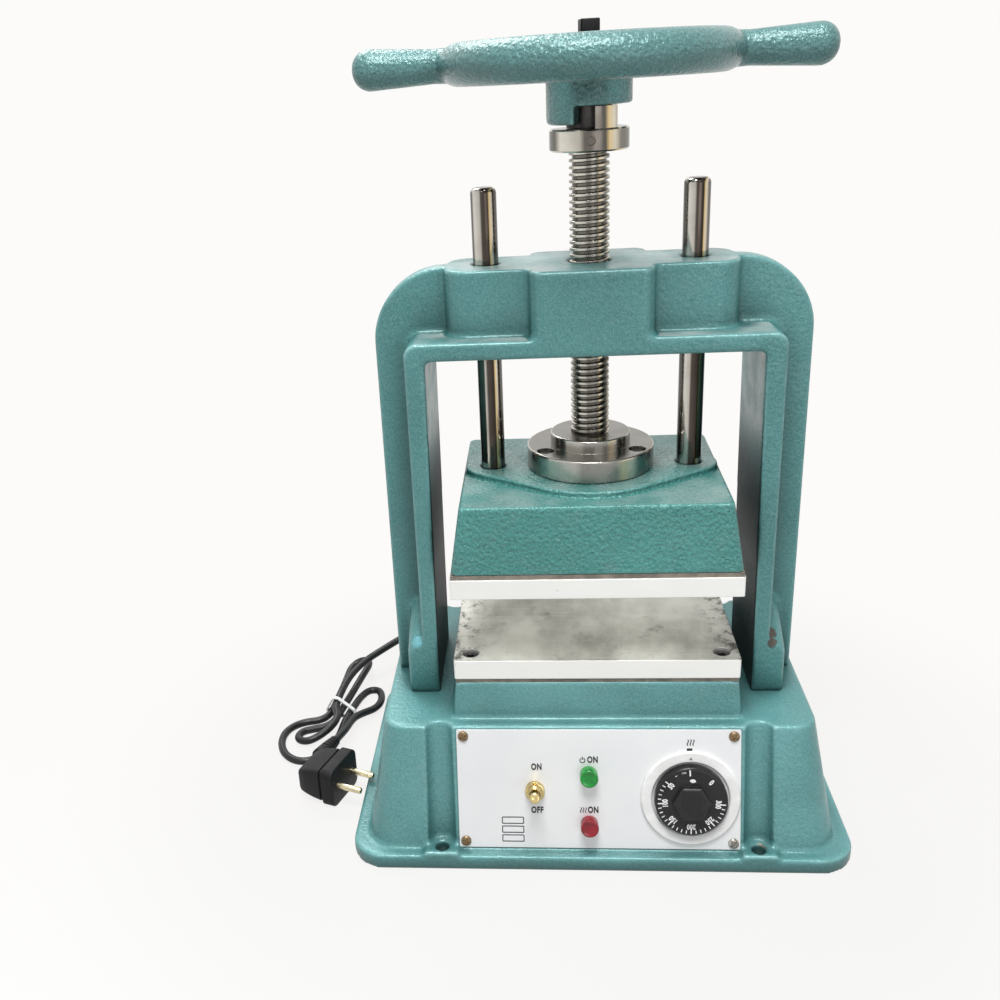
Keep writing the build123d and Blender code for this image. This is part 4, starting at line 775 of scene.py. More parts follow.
def printed_ink(name, colour):
    """Printed marks, a little worn through."""
    finish = Finish(name, Specular_IOR_Level=0.35)
    worn = finish.between(finish.noise(1900, 3.0), 0.25, 0.8)
    base = finish.mix(worn, colour, [min(1.0, part * 1.15 + 0.012) for part in colour])
    gloss = finish.between(finish.noise(800), 0.3, 0.7, 0.42, 0.60)
    return finish.drive(base, gloss)


FINISHES = {}


def finish_named(name):
    """A finish by its name, made the first time that it is asked for."""
    if name not in FINISHES:
        palette = colours()
        bare = (0.055, 0.048, 0.040)
        brown = (0.16, 0.085, 0.035)
        pale = (0.13, 0.36, 0.40)
        platen_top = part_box("lower_platen")[1][2]
        worked_face = (platen_top - 0.00025, platen_top - 0.00005)
        makers = {
            "base_paint": lambda name: cast_paint(name, (1.42, 1.20, 1.24), patches=(
                ((0.1035, -0.1005, 0.0155), 0.0052, brown),
                ((0.1010, -0.0975, 0.0230), 0.0040, brown),
            )),
            "arch_paint": lambda name: cast_paint(
                name, (0.95, 0.95, 0.96), top_paling=0.7, shade=leg_insides, patches=(
                    ((0.1180, -0.0355, 0.1370), 0.0060, bare),
                    ((0.1165, -0.0368, 0.1290), 0.0048, bare),
                    ((-0.1190, -0.0370, 0.1310), 0.0050, pale),
                ),
            ),
            "head_paint": lambda name: cast_paint(
                name, (0.76, 1.10, 1.02), peel=0.00042, deep=0.14, gloss=0.28, pits=0.9, top_paling=0.35
            ),
            "wheel_paint": lambda name: cast_paint(name, (1.0, 0.80, 0.80), peel=0.00036, gloss=0.15),
            # The fifth number of machined_steel is the share of painted reflection bands
            "screw_steel": lambda name: machined_steel(name, palette.steel, 0.22, 0.30, 0.72, root=0.0104),
            "collar_steel": lambda name: machined_steel(name, (0.74, 0.72, 0.66), 0.14, 0.10, 0.90),
            "bright_steel": lambda name: machined_steel(name, (0.62, 0.61, 0.57), 0.18, 0.18, 0.60),
            "race_steel": lambda name: machined_steel(name, (0.52, 0.52, 0.53), 0.20),
            "rod_chrome": chrome,
            "black_steel": dark_steel,
            "bolt_black": lambda name: dark_steel(name, (0.012, 0.012, 0.012), 0.55),
            "screw_bronze": lambda name: plain_metal(name, (0.44, 0.29, 0.14), 0.30),
            "upper_platen_metal": ground_platen,
            "lower_platen_metal": lambda name: ground_platen(name, worked_face),
            "heater_sheath": lambda name: plain_metal(name, (0.30, 0.28, 0.26), 0.45),
            "insulation_board": insulation_board,
            "panel_sheet": panel_sheet,
            "cover_sheet": lambda name: plain_metal(name, (0.42, 0.42, 0.42), 0.40),
            "white_moulding": lambda name: moulded(name, (0.80, 0.80, 0.785), 0.33),
            "black_moulding": lambda name: moulded(name, (0.012, 0.012, 0.013), 0.26, shine=0.3),
            "brown_moulding": lambda name: moulded(name, (0.075, 0.042, 0.025), 0.40),
            "brass": lambda name: plain_metal(name, palette.brass, 0.22),
            "pin_brass": lambda name: plain_metal(name, (0.70, 0.62, 0.42), 0.20),
            "rusty_steel": lambda name: machined_steel(name, (0.24, 0.17, 0.10), 0.38, stained=0.9),
            "green_lens": lambda name: lens_plastic(name, palette.green_lens),
            "red_lens": lambda name: lens_plastic(name, palette.red_lens),
            "cord_rubber": lambda name: moulded(name, palette.rubber, 0.36, 1200, shine=0.35),
            "plug_rubber": lambda name: moulded(name, palette.rubber, 0.46, 1800, 0.00003, shine=0.2),
            "tie_plastic": lambda name: moulded(name, (0.78, 0.78, 0.76), 0.34),
            "black_ink": lambda name: printed_ink(name, palette.ink),
            "grey_ink": lambda name: printed_ink(name, (0.22, 0.22, 0.23)),
            "white_ink": lambda name: printed_ink(name, (0.80, 0.80, 0.79)),
        }
        FINISHES[name] = makers[name](name)
    return FINISHES[name]


# Finish of every solid that is carried over
NODE_FINISHES = {
    "base_paint": ["base_casting"],
    "arch_paint": ["arch_frame"],
    "head_paint": ["ram_head"],
    "wheel_paint": ["handwheel", "handle_left", "handle_right"],
    "screw_steel": ["press_screw"],
    "collar_steel": ["dog_collar", "collar_pin"],
    "bright_steel": ["thrust_flange", "wheel_washer"],
    "race_steel": ["thrust_race_lower", "thrust_race_upper", "thrust_balls"],
    "rod_chrome": ["guide_rod_left", "guide_rod_right"],
    "black_steel": [
        "arch_bolts", "platen_screws_lower", "platen_screws_upper", "flange_screws",
        "wheel_bolt", "cover_screws", "hub_bush",
    ],
    "screw_bronze": ["screw_nut", "guide_bush_left", "guide_bush_right"],
    "upper_platen_metal": ["upper_platen"],
    "lower_platen_metal": ["lower_platen"],
    "heater_sheath": ["heater_lower", "heater_upper"],
    "insulation_board": ["insulation_lower", "insulation_upper"],
    "panel_sheet": ["control_panel"],
    "cover_sheet": ["bottom_cover"],
    "white_moulding": ["dial_bezel", "terminal_block"],
    "black_moulding": ["dial_knob"],
    "brown_moulding": ["thermostat_body", "switch_body", "lamp_body_power", "lamp_body_heat"],
    "brass": ["switch_nut", "switch_lever", "dial_shaft"],
    "rusty_steel": ["panel_screws"],
    "green_lens": ["lamp_lens_power"],
    "red_lens": ["lamp_lens_heat"],
    "cord_rubber": ["lead_stretch", "lead_hank", "cord_gland"],
    "plug_rubber": ["plug_body"],
    "pin_brass": ["plug_pins"],
    "tie_plastic": ["lead_tie"],
}


class VULCANIZER_OT_stage(bpy.types.Operator):
    """Set the floor, the soft lamps, the pale world and the camera of the photograph"""

    bl_idname = "vulcanizer.stage"
    bl_label = "Stage"

    lamp_size = 0.8

    def add_floor(self):
        """A wide pale floor that keeps the machine's shadow."""
        select_nothing()
        bpy.ops.mesh.primitive_plane_add(size=30, location=(0, 0, 0))
        floor = named("floor")
        finish = Finish("floor_paper", Roughness=0.85, Specular_IOR_Level=0.1)
        grain = finish.noise(3, 2.0)
        finish.drive(finish.mix(grain, (0.44, 0.44, 0.435), (0.46, 0.46, 0.455)))
        distance = finish.node("ShaderNodeVectorMath", {"operation": "LENGTH"}, {0: finish.place})
        fade = finish.between(distance.outputs["Value"], 0.22, 0.42, 0.86, 1.0)
        seen = seen_share(finish.tree)
        tint = finish.mix(finish.between(finish.axis("Y"), -0.45, 0.1), (1.0, 1.0, 0.99), WHITE_BEHIND)
        white = finish.node("ShaderNodeEmission", {}, {"Color": tint, "Strength": 1.0})
        share = finish.math("MULTIPLY", fade, seen)
        blend = finish.node("ShaderNodeMixShader", {}, {0: share})
        output = finish.tree.nodes["Material Output"]
        finish.tree.links.new(finish.shader.outputs[0], blend.inputs[1])
        finish.tree.links.new(white.outputs[0], blend.inputs[2])
        finish.tree.links.new(blend.outputs[0], output.inputs["Surface"])
        floor.data.materials.append(finish.material)

    def add_lamp(self, name, place, target, power):
        """A square soft lamp that looks at a target."""
        select_nothing()
        bpy.ops.object.light_add(type="AREA", location=place)
        lamp = bpy.context.view_layer.objects.active
        lamp.name = name
        lamp.data.shape = "SQUARE"
        lamp.data.size = self.lamp_size
        lamp.data.energy = power
        lamp.rotation_mode = "QUATERNION"
        lamp.rotation_quaternion = (Vector(target) - Vector(place)).to_track_quat("-Z", "Y")

    def add_world(self):
        """Even light, with white behind the machine and in its reflections."""
        world = bpy.data.worlds.new("studio")
        bpy.context.scene.world = world
        world.use_nodes = True
        tree = world.node_tree
        tree.nodes.clear()
        even = tree.nodes.new("ShaderNodeBackground")
        even.inputs["Color"].default_value = (0.95, 0.97, 1.0, 1)
        even.inputs["Strength"].default_value = 0.26
        white = tree.nodes.new("ShaderNodeBackground")
        white.inputs["Color"].default_value = (*WHITE_BEHIND, 1)
        white.inputs["Strength"].default_value = 1.0
        blend = tree.nodes.new("ShaderNodeMixShader")
        output = tree.nodes.new("ShaderNodeOutputWorld")
        tree.links.new(seen_share(tree), blend.inputs[0])
        tree.links.new(even.outputs[0], blend.inputs[1])
        tree.links.new(white.outputs[0], blend.inputs[2])
        tree.links.new(blend.outputs[0], output.inputs["Surface"])

    def add_camera(self):
        """The camera at the photograph's place, turned by its yaw, pitch and roll."""
        forward = Vector((
            math.sin(CAMERA_YAW) * math.cos(CAMERA_PITCH),
            math.cos(CAMERA_YAW) * math.cos(CAMERA_PITCH),
            -math.sin(CAMERA_PITCH),
        ))
        level = Vector((math.cos(CAMERA_YAW), -math.sin(CAMERA_YAW), 0))
        below = forward.cross(level)
        right = level * math.cos(CAMERA_ROLL) + below * math.sin(CAMERA_ROLL)
        down = below * math.cos(CAMERA_ROLL) - level * math.sin(CAMERA_ROLL)
        select_nothing()
        bpy.ops.object.camera_add(location=CAMERA_PLACE)
        camera = bpy.context.view_layer.objects.active
        camera.name = "photo_camera"
        camera.data.sensor_width = SENSOR_WIDTH
        camera.data.lens = FOCAL_PIXELS * SENSOR_WIDTH / IMAGE_WIDTH
        camera.data.shift_x, camera.data.shift_y = CAMERA_SHIFT
        camera.data.clip_start = 0.01
        camera.matrix_world = (
            Matrix.Translation(CAMERA_PLACE) @ Matrix((right, -down, -forward)).transposed().to_4x4()
        )
        bpy.context.scene.camera = camera

    def execute(self, context):
        self.add_camera()
        self.add_world()
        self.add_floor()
        self.add_lamp("key_lamp", (-0.05, -0.70, 2.1), (0, 0, 0.2), 48)
        self.add_lamp("fill_lamp", (0.7, -1.8, 0.5), (0, 0, 0.1), 4)
        self.add_lamp("back_lamp", (-0.6, 1.1, 1.7), (0, 0, 0.3), 18)
        context.scene.view_settings.view_transform = "Standard"
        return {"FINISHED"}


class VULCANIZER_OT_lead(bpy.types.Operator):
    """Lay the mains lead along its route, with its ribbed gland and its plug"""

    bl_idname = "vulcanizer.lead"
    bl_label = "Mains lead"

    pin_pitch = 0.019
    plug_face = (0.037, 0.0306, 0.009)
    plug_corner = 0.006

    def add_lead(self, diameter):
        """The lead as one smooth curve."""
        select_nothing()
        bpy.ops.curve.primitive_nurbs_path_add(location=(0, 0, 0))
        lead = named("mains_lead")
        points = [LEAD_EXIT, *LEAD_STRETCH, *LEAD_HANK]
        lead.data.splines.clear()
        spline = lead.data.splines.new("NURBS")
        spline.points.add(len(points) - 1)
        for point, place in zip(spline.points, points):
            point.co = (*place, 1)
        spline.order_u = 3
        spline.use_endpoint_u = True
        spline.resolution_u = 6
        lead.data.resolution_u = 6
        lead.data.dimensions = "3D"
        lead.data.bevel_depth = diameter / 2
        lead.data.bevel_resolution = 5
        lead.data.use_fill_caps = True
        lead.data.materials.append(finish_named("cord_rubber"))
        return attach(lead, "base")

    def add_gland(self, diameter, steps):
        """Strain relief: a flange against the wall and a tail with ribs that thin out."""
        inner, flange, tail = 0.017, 0.0035, 0.024
        profile = [(0.0040, -inner), (0.0064, -inner), (0.0064, 0.0), (0.0095, 0.0)]
        profile += [(0.0095, flange - 0.0008), (0.0087, flange), (0.0054, flange)]
        ribs = 6
        for rib in range(ribs):
            start = flange + 0.002 + rib * (tail - 0.004) / ribs
            outer = 0.0052 - rib * 0.00020
            root = outer - 0.0011
            profile += [(root, start), (root, start + 0.0014), (outer, start + 0.0019)]
            profile += [(outer, start + 0.0032)]
        profile += [(diameter / 2 + 0.0004, flange + tail - 0.0005), (diameter / 2 + 0.0001, flange + tail)]
        gland = turned("strain_relief", profile, steps)
        place = axes_matrix(GLAND_WALL, RIGHT, GLAND_OUT)
        settle(gland, place, "base", "cord_rubber")
        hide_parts("cord_gland")

    def add_plug(self, steps):
        """Plug: a face plate, a waist behind it, a tapered grip, and its tail."""
        plug = block("plug_moulding", self.plug_face, (0, 0, -self.plug_face[2] / 2))
        start_edit(plug, "EDGE")
        choose_upright(plug)
        bpy.ops.mesh.bevel(offset=self.plug_corner, segments=5)
        bpy.ops.mesh.select_mode(type="FACE")
        choose(plug, "faces", lambda face: face.normal.z < -0.9)
        bpy.ops.mesh.inset(thickness=0.0032, depth=0)
        extrude((0, 0, -0.0028))
        extrude((0, 0, -0.0006))
        bpy.ops.transform.resize(value=(1.08, 1.09, 1), center_override=(0, 0, -0.0124))
        for depth, across, tall in (
            (0.006, 0.985, 0.93), (0.006, 0.97, 0.88), (0.0045, 0.95, 0.86), (0.002, 0.90, 0.86),
        ):
            extrude((0, 0, -depth))
            bpy.ops.transform.resize(value=(across, tall, 1))
        bpy.ops.mesh.select_mode(type="EDGE")
        choose(plug, "edges", lambda edge: max(vert.co.z for vert in edge.verts) > -0.0001)
        bpy.ops.mesh.bevel(offset=0.0010, segments=3)
        face_outwards()
        plug.matrix_world = axes_matrix(PLUG_FACE, PLUG_ACROSS, PLUG_PINS_TO)
        hold_place(plug)
        end, before = Vector(LEAD_HANK[-1]), Vector(LEAD_HANK[-2])
        profile = [(0.0032, -0.0004)]
        for rib in range(4):
            start = rib * 0.0042
            outer = 0.0043 + rib * 0.00042
            profile += [(outer, start), (outer, start + 0.0024), (outer - 0.0009, start + 0.0028)]
            profile += [(outer - 0.0009, start + 0.0038)]
        profile += [(0.0059, 0.0176), (0.0062, 0.026)]
        tail = turned("plug_tail", profile, steps)
        tail.matrix_world = axes_matrix(end, RIGHT, end - before)
        hold_place(tail)
        plug = joined("plug_moulding", [plug, tail])
        settle(plug, Matrix.Identity(4), "base", "plug_rubber", 30)
        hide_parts("plug_body")
        return plug

    def add_pins(self, steps):
        """Two round pins with a hollow end each."""
        profile = [
            (0.0024, -0.002), (0.0024, 0.0180), (0.0020, 0.0188), (0.0014, 0.0190), (0.0011, 0.0189),
            (0.0010, 0.0165),
        ]
        pins = []
        for side in (-1, 1):
            pin = turned("pin", profile, steps // 2)
            pin.location = (side * self.pin_pitch / 2, 0, 0)
            pins.append(pin)
        pair = joined("plug_pin_pair", pins)
        hold_place(pair)
        place = axes_matrix(PLUG_FACE, PLUG_ACROSS, PLUG_PINS_TO)
        settle(pair, place, "base", "pin_brass")
        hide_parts("plug_pins")
        return pair

    def execute(self, context):
        diameter = sizes().cord_diameter
        steps = sizes().round_steps
        lead = self.add_lead(diameter)
        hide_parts("lead_stretch", "lead_hank")
        self.add_gland(diameter, steps // 2)
        plug = self.add_plug(steps // 2)
        pins = self.add_pins(steps)
        return {"FINISHED"}


class VULCANIZER_OT_press_screw(bpy.types.Operator):
    """Cut the square thread of the press screw, with its end collar and its spigot"""

    bl_idname = "vulcanizer.press_screw"
    bl_label = "Press screw"

    crest = 0.01225
    collar_height = 0.010
    steps_per_turn = 40
    merge_distance = 0.00001

    def execute(self, context):
        pitch = sizes().thread_pitch
        crest = self.crest
        root = crest - sizes().thread_depth
        low, high = (Vector(corner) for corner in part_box("press_screw"))
        collar_top = low.z + self.collar_height
        thread_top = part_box("dog_collar")[0][2]
        turns = int((thread_top - collar_top) / pitch) + 3
        profile = [
            (root, 0), (root, 0.40), (crest - 0.0003, 0.47), (crest, 0.55),
            (crest, 0.87), (crest - 0.0003, 0.95), (root, 1.0),
        ]
        select_nothing()
        bpy.ops.mesh.primitive_plane_add(size=0.001, location=(0, 0, 0))
        thread = named("screw_thread")
        start_edit(thread, "VERT")
        choose_all()
        bpy.ops.mesh.merge(type="CENTER")
        bpy.ops.transform.translate(value=(root, 0, collar_top - pitch))
        for (before, start), (after, end) in zip(profile, profile[1:]):
            step = (after - before, 0, (end - start) * pitch)
            extrude(step)
        bpy.ops.object.mode_set(mode="OBJECT")
        winding = thread.modifiers.new("winding", "SCREW")
        winding.axis = "Z"
        winding.angle = 2 * math.pi
        winding.screw_offset = pitch
        winding.iterations = turns
        winding.steps = self.steps_per_turn
        winding.render_steps = self.steps_per_turn
        winding.use_merge_vertices = True
        winding.merge_threshold = self.merge_distance
        apply_modifiers(thread)
        start_edit(thread, "VERT")
        for height, side in ((collar_top + pitch / 4, -1), (thread_top + pitch / 8, 1)):
            choose_all()
            bpy.ops.mesh.bisect(
                plane_co=(0, 0, height), plane_no=(0, 0, side), use_fill=True, clear_outer=True,
            )
        choose_all()
        bpy.ops.mesh.remove_doubles(threshold=self.merge_distance)
        face_outwards()
        steps = sizes().round_steps
        end_collar = turned("end_collar", [
            (0.0160, low.z), (0.0170, low.z + 0.001), (0.0170, collar_top - 0.001), (0.0160, collar_top),
            (root, collar_top), (root, collar_top + pitch),
        ], steps)
        spigot = turned("spigot", [
            (0.0089, thread_top - pitch), (0.0090, thread_top), (0.0090, high.z - 0.001), (0.0080, high.z),
        ], steps)
        screw = joined("threaded_screw", [thread, end_collar, spigot])
        settle(screw, Matrix.Identity(4), "screw", "screw_steel", 40)
        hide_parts("press_screw")
        return {"FINISHED"}


class VULCANIZER_OT_castings(bpy.types.Operator):
    """Round the corners and hollows of the large castings: base, arch and ram head"""

    bl_idname = "vulcanizer.castings"
    bl_label = "Castings"

    slant_root = Vector((0.0415, -0.0290, 0))
    slant_tip = Vector((0.0320, -0.0410, 0))
    slant_low = 0.3385
    slant_size = (0.0200, 0.0260, 0.0700)

    def slant_cutters(self):
        """Blocks that slant both sides of the arch's middle block, front and back."""
        along = (self.slant_tip - self.slant_root).normalized()
        outward = Vector((-along.y, along.x, 0))
        wide, long, high = self.slant_size
        cutters = []
        for side, face in ((1, 1), (1, -1), (-1, 1), (-1, -1)):
            cutter = block(f"slant_cutter_{side}_{face}", self.slant_size)
            middle = self.slant_root + along * long / 2 + outward * wide / 2
            spot = (side * middle.x, face * middle.y, self.slant_low + high / 2)
            angle = side * face * math.atan2(outward.y, outward.x)
            cutter.data.transform(Matrix.Translation(spot) @ Matrix.Rotation(angle, 4, "Z"))
            cutters.append(cutter)
        return cutters

    def execute(self, context):
        for node, name, body, finish, share, passes in (
            ("base_casting", "cast_base", "base", "base_paint", 1.0, 5),
            ("arch_frame", "cast_arch", "base", "arch_paint", 1.0, 6),
            ("ram_head", "cast_head", "ram", "head_paint", 0.65, 9),
        ):
            cutters = self.slant_cutters() if node == "arch_frame" else ()
            casting = softened([node], name, sizes().casting_voxel * share, passes, cutters)
            settle(casting, Matrix.Identity(4), body, finish, 180)
            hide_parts(node)
        return {"FINISHED"}


class VULCANIZER_OT_handwheel(bpy.types.Operator):
    """Cast the handwheel in one with its handles, and stand the square bolt on its hub"""

    bl_idname = "vulcanizer.handwheel"
    bl_label = "Handwheel"

    bolt_flat = 0.0110
    bolt_turn = math.radians(8)
    shank_radius = 0.0050

    def execute(self, context):
        nodes = ["handwheel", "handle_left", "handle_right"]
        wheel = softened(nodes, "cast_handwheel", sizes().wheel_voxel, 7)
        settle(wheel, Matrix.Identity(4), "wheel", "wheel_paint", 180)
        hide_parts(*nodes)
        low, high = (Vector(corner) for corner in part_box("wheel_bolt"))
        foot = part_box("wheel_washer")[1][2]
        size = (self.bolt_flat, self.bolt_flat, high.z - foot)
        head = block("square_bolt", size, (0, 0, (high.z + foot) / 2))
        start_edit(head, "EDGE")
        choose(head, "edges", lambda edge: min(vert.co.z for vert in edge.verts) > foot)
        bpy.ops.mesh.bevel(offset=0.0007, segments=2)
        choose_upright(head, 0.004)
        bpy.ops.mesh.bevel(offset=0.0004, segments=2)
        bpy.ops.object.mode_set(mode="OBJECT")
        radius = self.shank_radius
        shank = turned("bolt_shank", [
            (radius - 0.0005, low.z), (radius, low.z + 0.0005), (radius, foot + 0.001),
        ], 32)
        bolt = joined("square_bolt", [head, shank])
        settle(bolt, Matrix.Rotation(self.bolt_turn, 4, "Z"), "screw", "bolt_black")
        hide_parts("wheel_bolt")
        return {"FINISHED"}


class VULCANIZER_OT_panel_marks(bpy.types.Operator):
    """Print the panel: ON and OFF, plain signs for power and heat, empty boxes and the dial's index"""

    bl_idname = "vulcanizer.panel_marks"
    bl_label = "Panel marks"

    boxes_across = -0.0556
    box_rises = (-0.0217, -0.0280, -0.0342)
    box_size = (0.0146, 0.0050)
    box_line = 0.00062

    def print_mark(self, mark, x, rise):
        """Lay a mark on the panel in black ink."""
        place = on_panel(x, rise, sizes().ink_thickness)
        settle(mark, place, "base", "black_ink")

    def add_words(self, name, words, x, rise):
        """Words in ink on the panel."""
        self.print_mark(lettering(name, words, sizes().letter_height), x, rise)

    def add_outline(self, name, x, rise):
        """An empty printed box with rounded corners."""
        box = ink_bar(name, *self.box_size, 0.0007, 3)
        start_edit(box)
        choose(box, "faces", lambda face: abs(face.normal.z) > 0.9)
        bpy.ops.mesh.inset(thickness=self.box_line, depth=0)
        bpy.ops.mesh.bridge_edge_loops()
        face_outwards()
        self.print_mark(box, x, rise)

    def add_wave(self, name, x, rise, length, swing, line):
        """An upright wavy line, the plain sign for heat."""
        wave = block(name, (line, length, sizes().ink_thickness))
        start_edit(wave, "EDGE")
        choose(wave, "edges", lambda edge: abs(edge.verts[0].co.y - edge.verts[1].co.y) > length / 2)
        bpy.ops.mesh.subdivide(number_cuts=15)
        bpy.ops.object.mode_set(mode="OBJECT")
        for vert in wave.data.vertices:
            vert.co.x += swing * math.sin(2 * math.pi * vert.co.y / length)
        self.print_mark(wave, x, rise)

    def add_power_sign(self, name, x, rise, radius, line):
        """A broken ring with a bar through the gap, the plain sign for power."""
        select_nothing()
        bpy.ops.mesh.primitive_circle_add(vertices=40, radius=radius, fill_type="NGON", location=(0, 0, 0))
        ring = named(name)
        start_edit(ring)
        choose_all()
        bpy.ops.mesh.inset(thickness=line, depth=0)
        bpy.ops.mesh.delete(type="FACE")
        choose(ring, "faces", lambda face: face.calc_center_median().y > radius * 0.72)
        bpy.ops.mesh.delete(type="FACE")
        choose_all()
        ink = sizes().ink_thickness
        extrude((0, 0, ink))
        face_outwards()
        bar = block("power_bar", (line, radius * 1.1, ink), (0, radius * 0.75, ink / 2))
        self.print_mark(joined(name, [ring, bar]), x, rise)

    def execute(self, context):
        self.add_words("switch_on_word", "ON", -0.0394, 0.0153)
        self.add_words("switch_off_word", "OFF", -0.0394, -0.0145)
        self.add_words("power_on_word", "ON", -0.0030, 0.0203)
        self.add_power_sign("power_sign", -0.0096, 0.0200, 0.0019, 0.0006)
        self.add_words("heat_on_word", "ON", -0.0030, -0.0142)
        for number in range(3):
            across = -0.0110 + number * 0.0016
            self.add_wave(f"heat_sign_{number}", across, -0.0142, 0.0038, 0.00035, 0.0006)
            across = 0.0577 + number * 0.0018
            self.add_wave(f"dial_sign_{number}", across, 0.0322, 0.0042, 0.0004, 0.0007)
        for number, rise in enumerate(self.box_rises):
            self.add_outline(f"empty_box_{number}", self.boxes_across, rise)
        self.print_mark(ink_bar("dial_index", 0.0036, 0.0023, 0.00046), 0.0588, 0.0272)
        return {"FINISHED"}


class VULCANIZER_OT_panel_screws(bpy.types.Operator):
    """Put a cross-slotted screw in each corner of the panel"""

    bl_idname = "vulcanizer.panel_screws"
    bl_label = "Panel screws"

    corner = (0.0869, 0.03635)
    slot_width = 0.0011

    def execute(self, context):
        steps = sizes().round_steps // 2
        head = turned("panel_screw_0", [
            (0.0014, -0.0062), (0.00175, -0.0055), (0.00175, 0.0), (0.0034, 0.0), (0.0034, 0.0007),
            (0.0031, 0.0012), (0.0026, 0.0015), (0.0018, 0.0016),
        ], steps)
        carve(head, [
            block("slot_cutter", (0.0050, self.slot_width, 0.0018), (0, 0, 0.0014)),
            block("cross_cutter", (self.slot_width, 0.0042, 0.0018), (0, 0, 0.0014)),
        ])
        x, rise = self.corner
        corners = [(-x, rise, 0.4), (x, rise, -0.5), (-x, -rise, 1.1), (x, -rise, 0.75)]
        screws = [head] + [copied(head, f"panel_screw_{number}") for number in (1, 2, 3)]
        for number, (screw, (across_x, up, turn)) in enumerate(zip(screws, corners)):
            finish = "bright_steel" if number == 3 else "rusty_steel"
            settle(screw, on_panel(across_x, up, 0, turn), "base", finish)
        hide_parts("panel_screws")
        return {"FINISHED"}


class VULCANIZER_OT_toggle(bpy.types.Operator):
    """Shape the toggle switch: threaded bush, round slotted nut and bat lever, set to ON"""

    bl_idname = "vulcanizer.toggle"
    bl_label = "Toggle switch"

    lever_tilt = math.radians(13)
    case_size = (0.0130, 0.0280, 0.0180)
    case_behind = 0.0132

    def add_bush(self, steps):
        """The threaded bush, its mouth opened to a cone for the lever."""
        profile = [(0.0042, -0.004), (0.0048, -0.003)]
        threads = 6
        start, stop = 0.0040, 0.0076
        for number in range(threads):
            foot = start + number * (stop - start) / threads
            profile += [(0.0045, foot), (0.0048, foot + 0.0002), (0.0048, foot + 0.00035)]
            profile += [(0.0045, foot + 0.0005)]
        profile += [(0.0045, 0.0079), (0.0044, 0.0080), (0.0037, 0.0080), (0.0027, 0.0047)]
        bush = turned("switch_bush", profile, steps)
        settle(bush, on_panel(*SWITCH_PLACE), "base", "brass", 30)

    def add_nut(self, steps):
        """Tall round nut with a spanner slot across its face."""
        nut = turned("slotted_nut", [
            (0.0064, 0.0), (0.0064, 0.0034), (0.0062, 0.0038), (0.0057, 0.0040), (0.0047, 0.0040),
            (0.0047, 0.0026),
        ], steps)
        carve(nut, [block("slot_cutter", (0.0022, 0.0140, 0.0032), (0, 0, 0.0042))])
        settle(nut, on_panel(*SWITCH_PLACE), "base", "brass", 30)
        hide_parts("switch_nut")

    def add_case(self):
        """Moulded case behind the panel."""
        case = block("switch_case", self.case_size, (0, 0, -self.case_behind))
        start_edit(case, "EDGE")
        choose_all()
        bpy.ops.mesh.bevel(offset=0.0008, segments=2)
        bpy.ops.object.mode_set(mode="OBJECT")
        settle(case, on_panel(*SWITCH_PLACE), "base", "brown_moulding")
        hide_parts("switch_body")

    def add_lever(self, steps):
        """Bat lever: a ball in the bush, a thin neck and a rounded end."""
        pivot = Vector(JOINTS["switch_flip"]["pos_m"])
        out = PANEL_OUT * math.cos(self.lever_tilt) + PANEL_UP * math.sin(self.lever_tilt)
        profile = [
            (0.0006, -0.0025), (0.0019, -0.0017), (0.0025, 0.0), (0.0022, 0.0013), (0.0018, 0.0022),
            (0.0019, 0.0060), (0.0023, 0.0102), (0.0030, 0.0140), (0.0034, 0.0154), (0.0036, 0.0165),
            (0.0035, 0.0172), (0.0031, 0.0178), (0.0025, 0.01815), (0.0016, 0.0182), (0.0012, 0.0180),
            (0.0005, 0.0179),
        ]
        lever = turned("bat_lever", profile, steps)
        settle(lever, axes_matrix(pivot, RIGHT, out), "lever", "brass", 50)
        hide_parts("switch_lever")

    def execute(self, context):
        steps = sizes().round_steps
        self.add_bush(steps)
        self.add_nut(steps)
        self.add_case()
        self.add_lever(steps // 2)
        return {"FINISHED"}


class VULCANIZER_OT_lamps(bpy.types.Operator):
    """Shape the two signal lamps: a tinted cap with a rounded rim and a sunk end"""

    bl_idname = "vulcanizer.lamps"
    bl_label = "Signal lamps"

    def execute(self, context):
        steps = sizes().round_steps
        outer = [
            (0.0047, 0.0), (0.0058, 0.0), (0.0058, 0.0076), (0.00565, 0.0081), (0.0053, 0.0084),
            (0.0048, 0.0084), (0.0045, 0.0082), (0.0024, 0.0081), (0.0004, 0.0081),
        ]
        for node, name, rise, finish in (
            ("lamp_lens_power", "green_lens_cap", 0.0103, "green_lens"),
            ("lamp_lens_heat", "red_lens_cap", -0.0238, "red_lens"),
        ):
            lens = turned(name, outer, steps)
            settle(lens, on_panel(LAMPS_ACROSS, rise), "base", finish, 50)
            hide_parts(node)
        return {"FINISHED"}


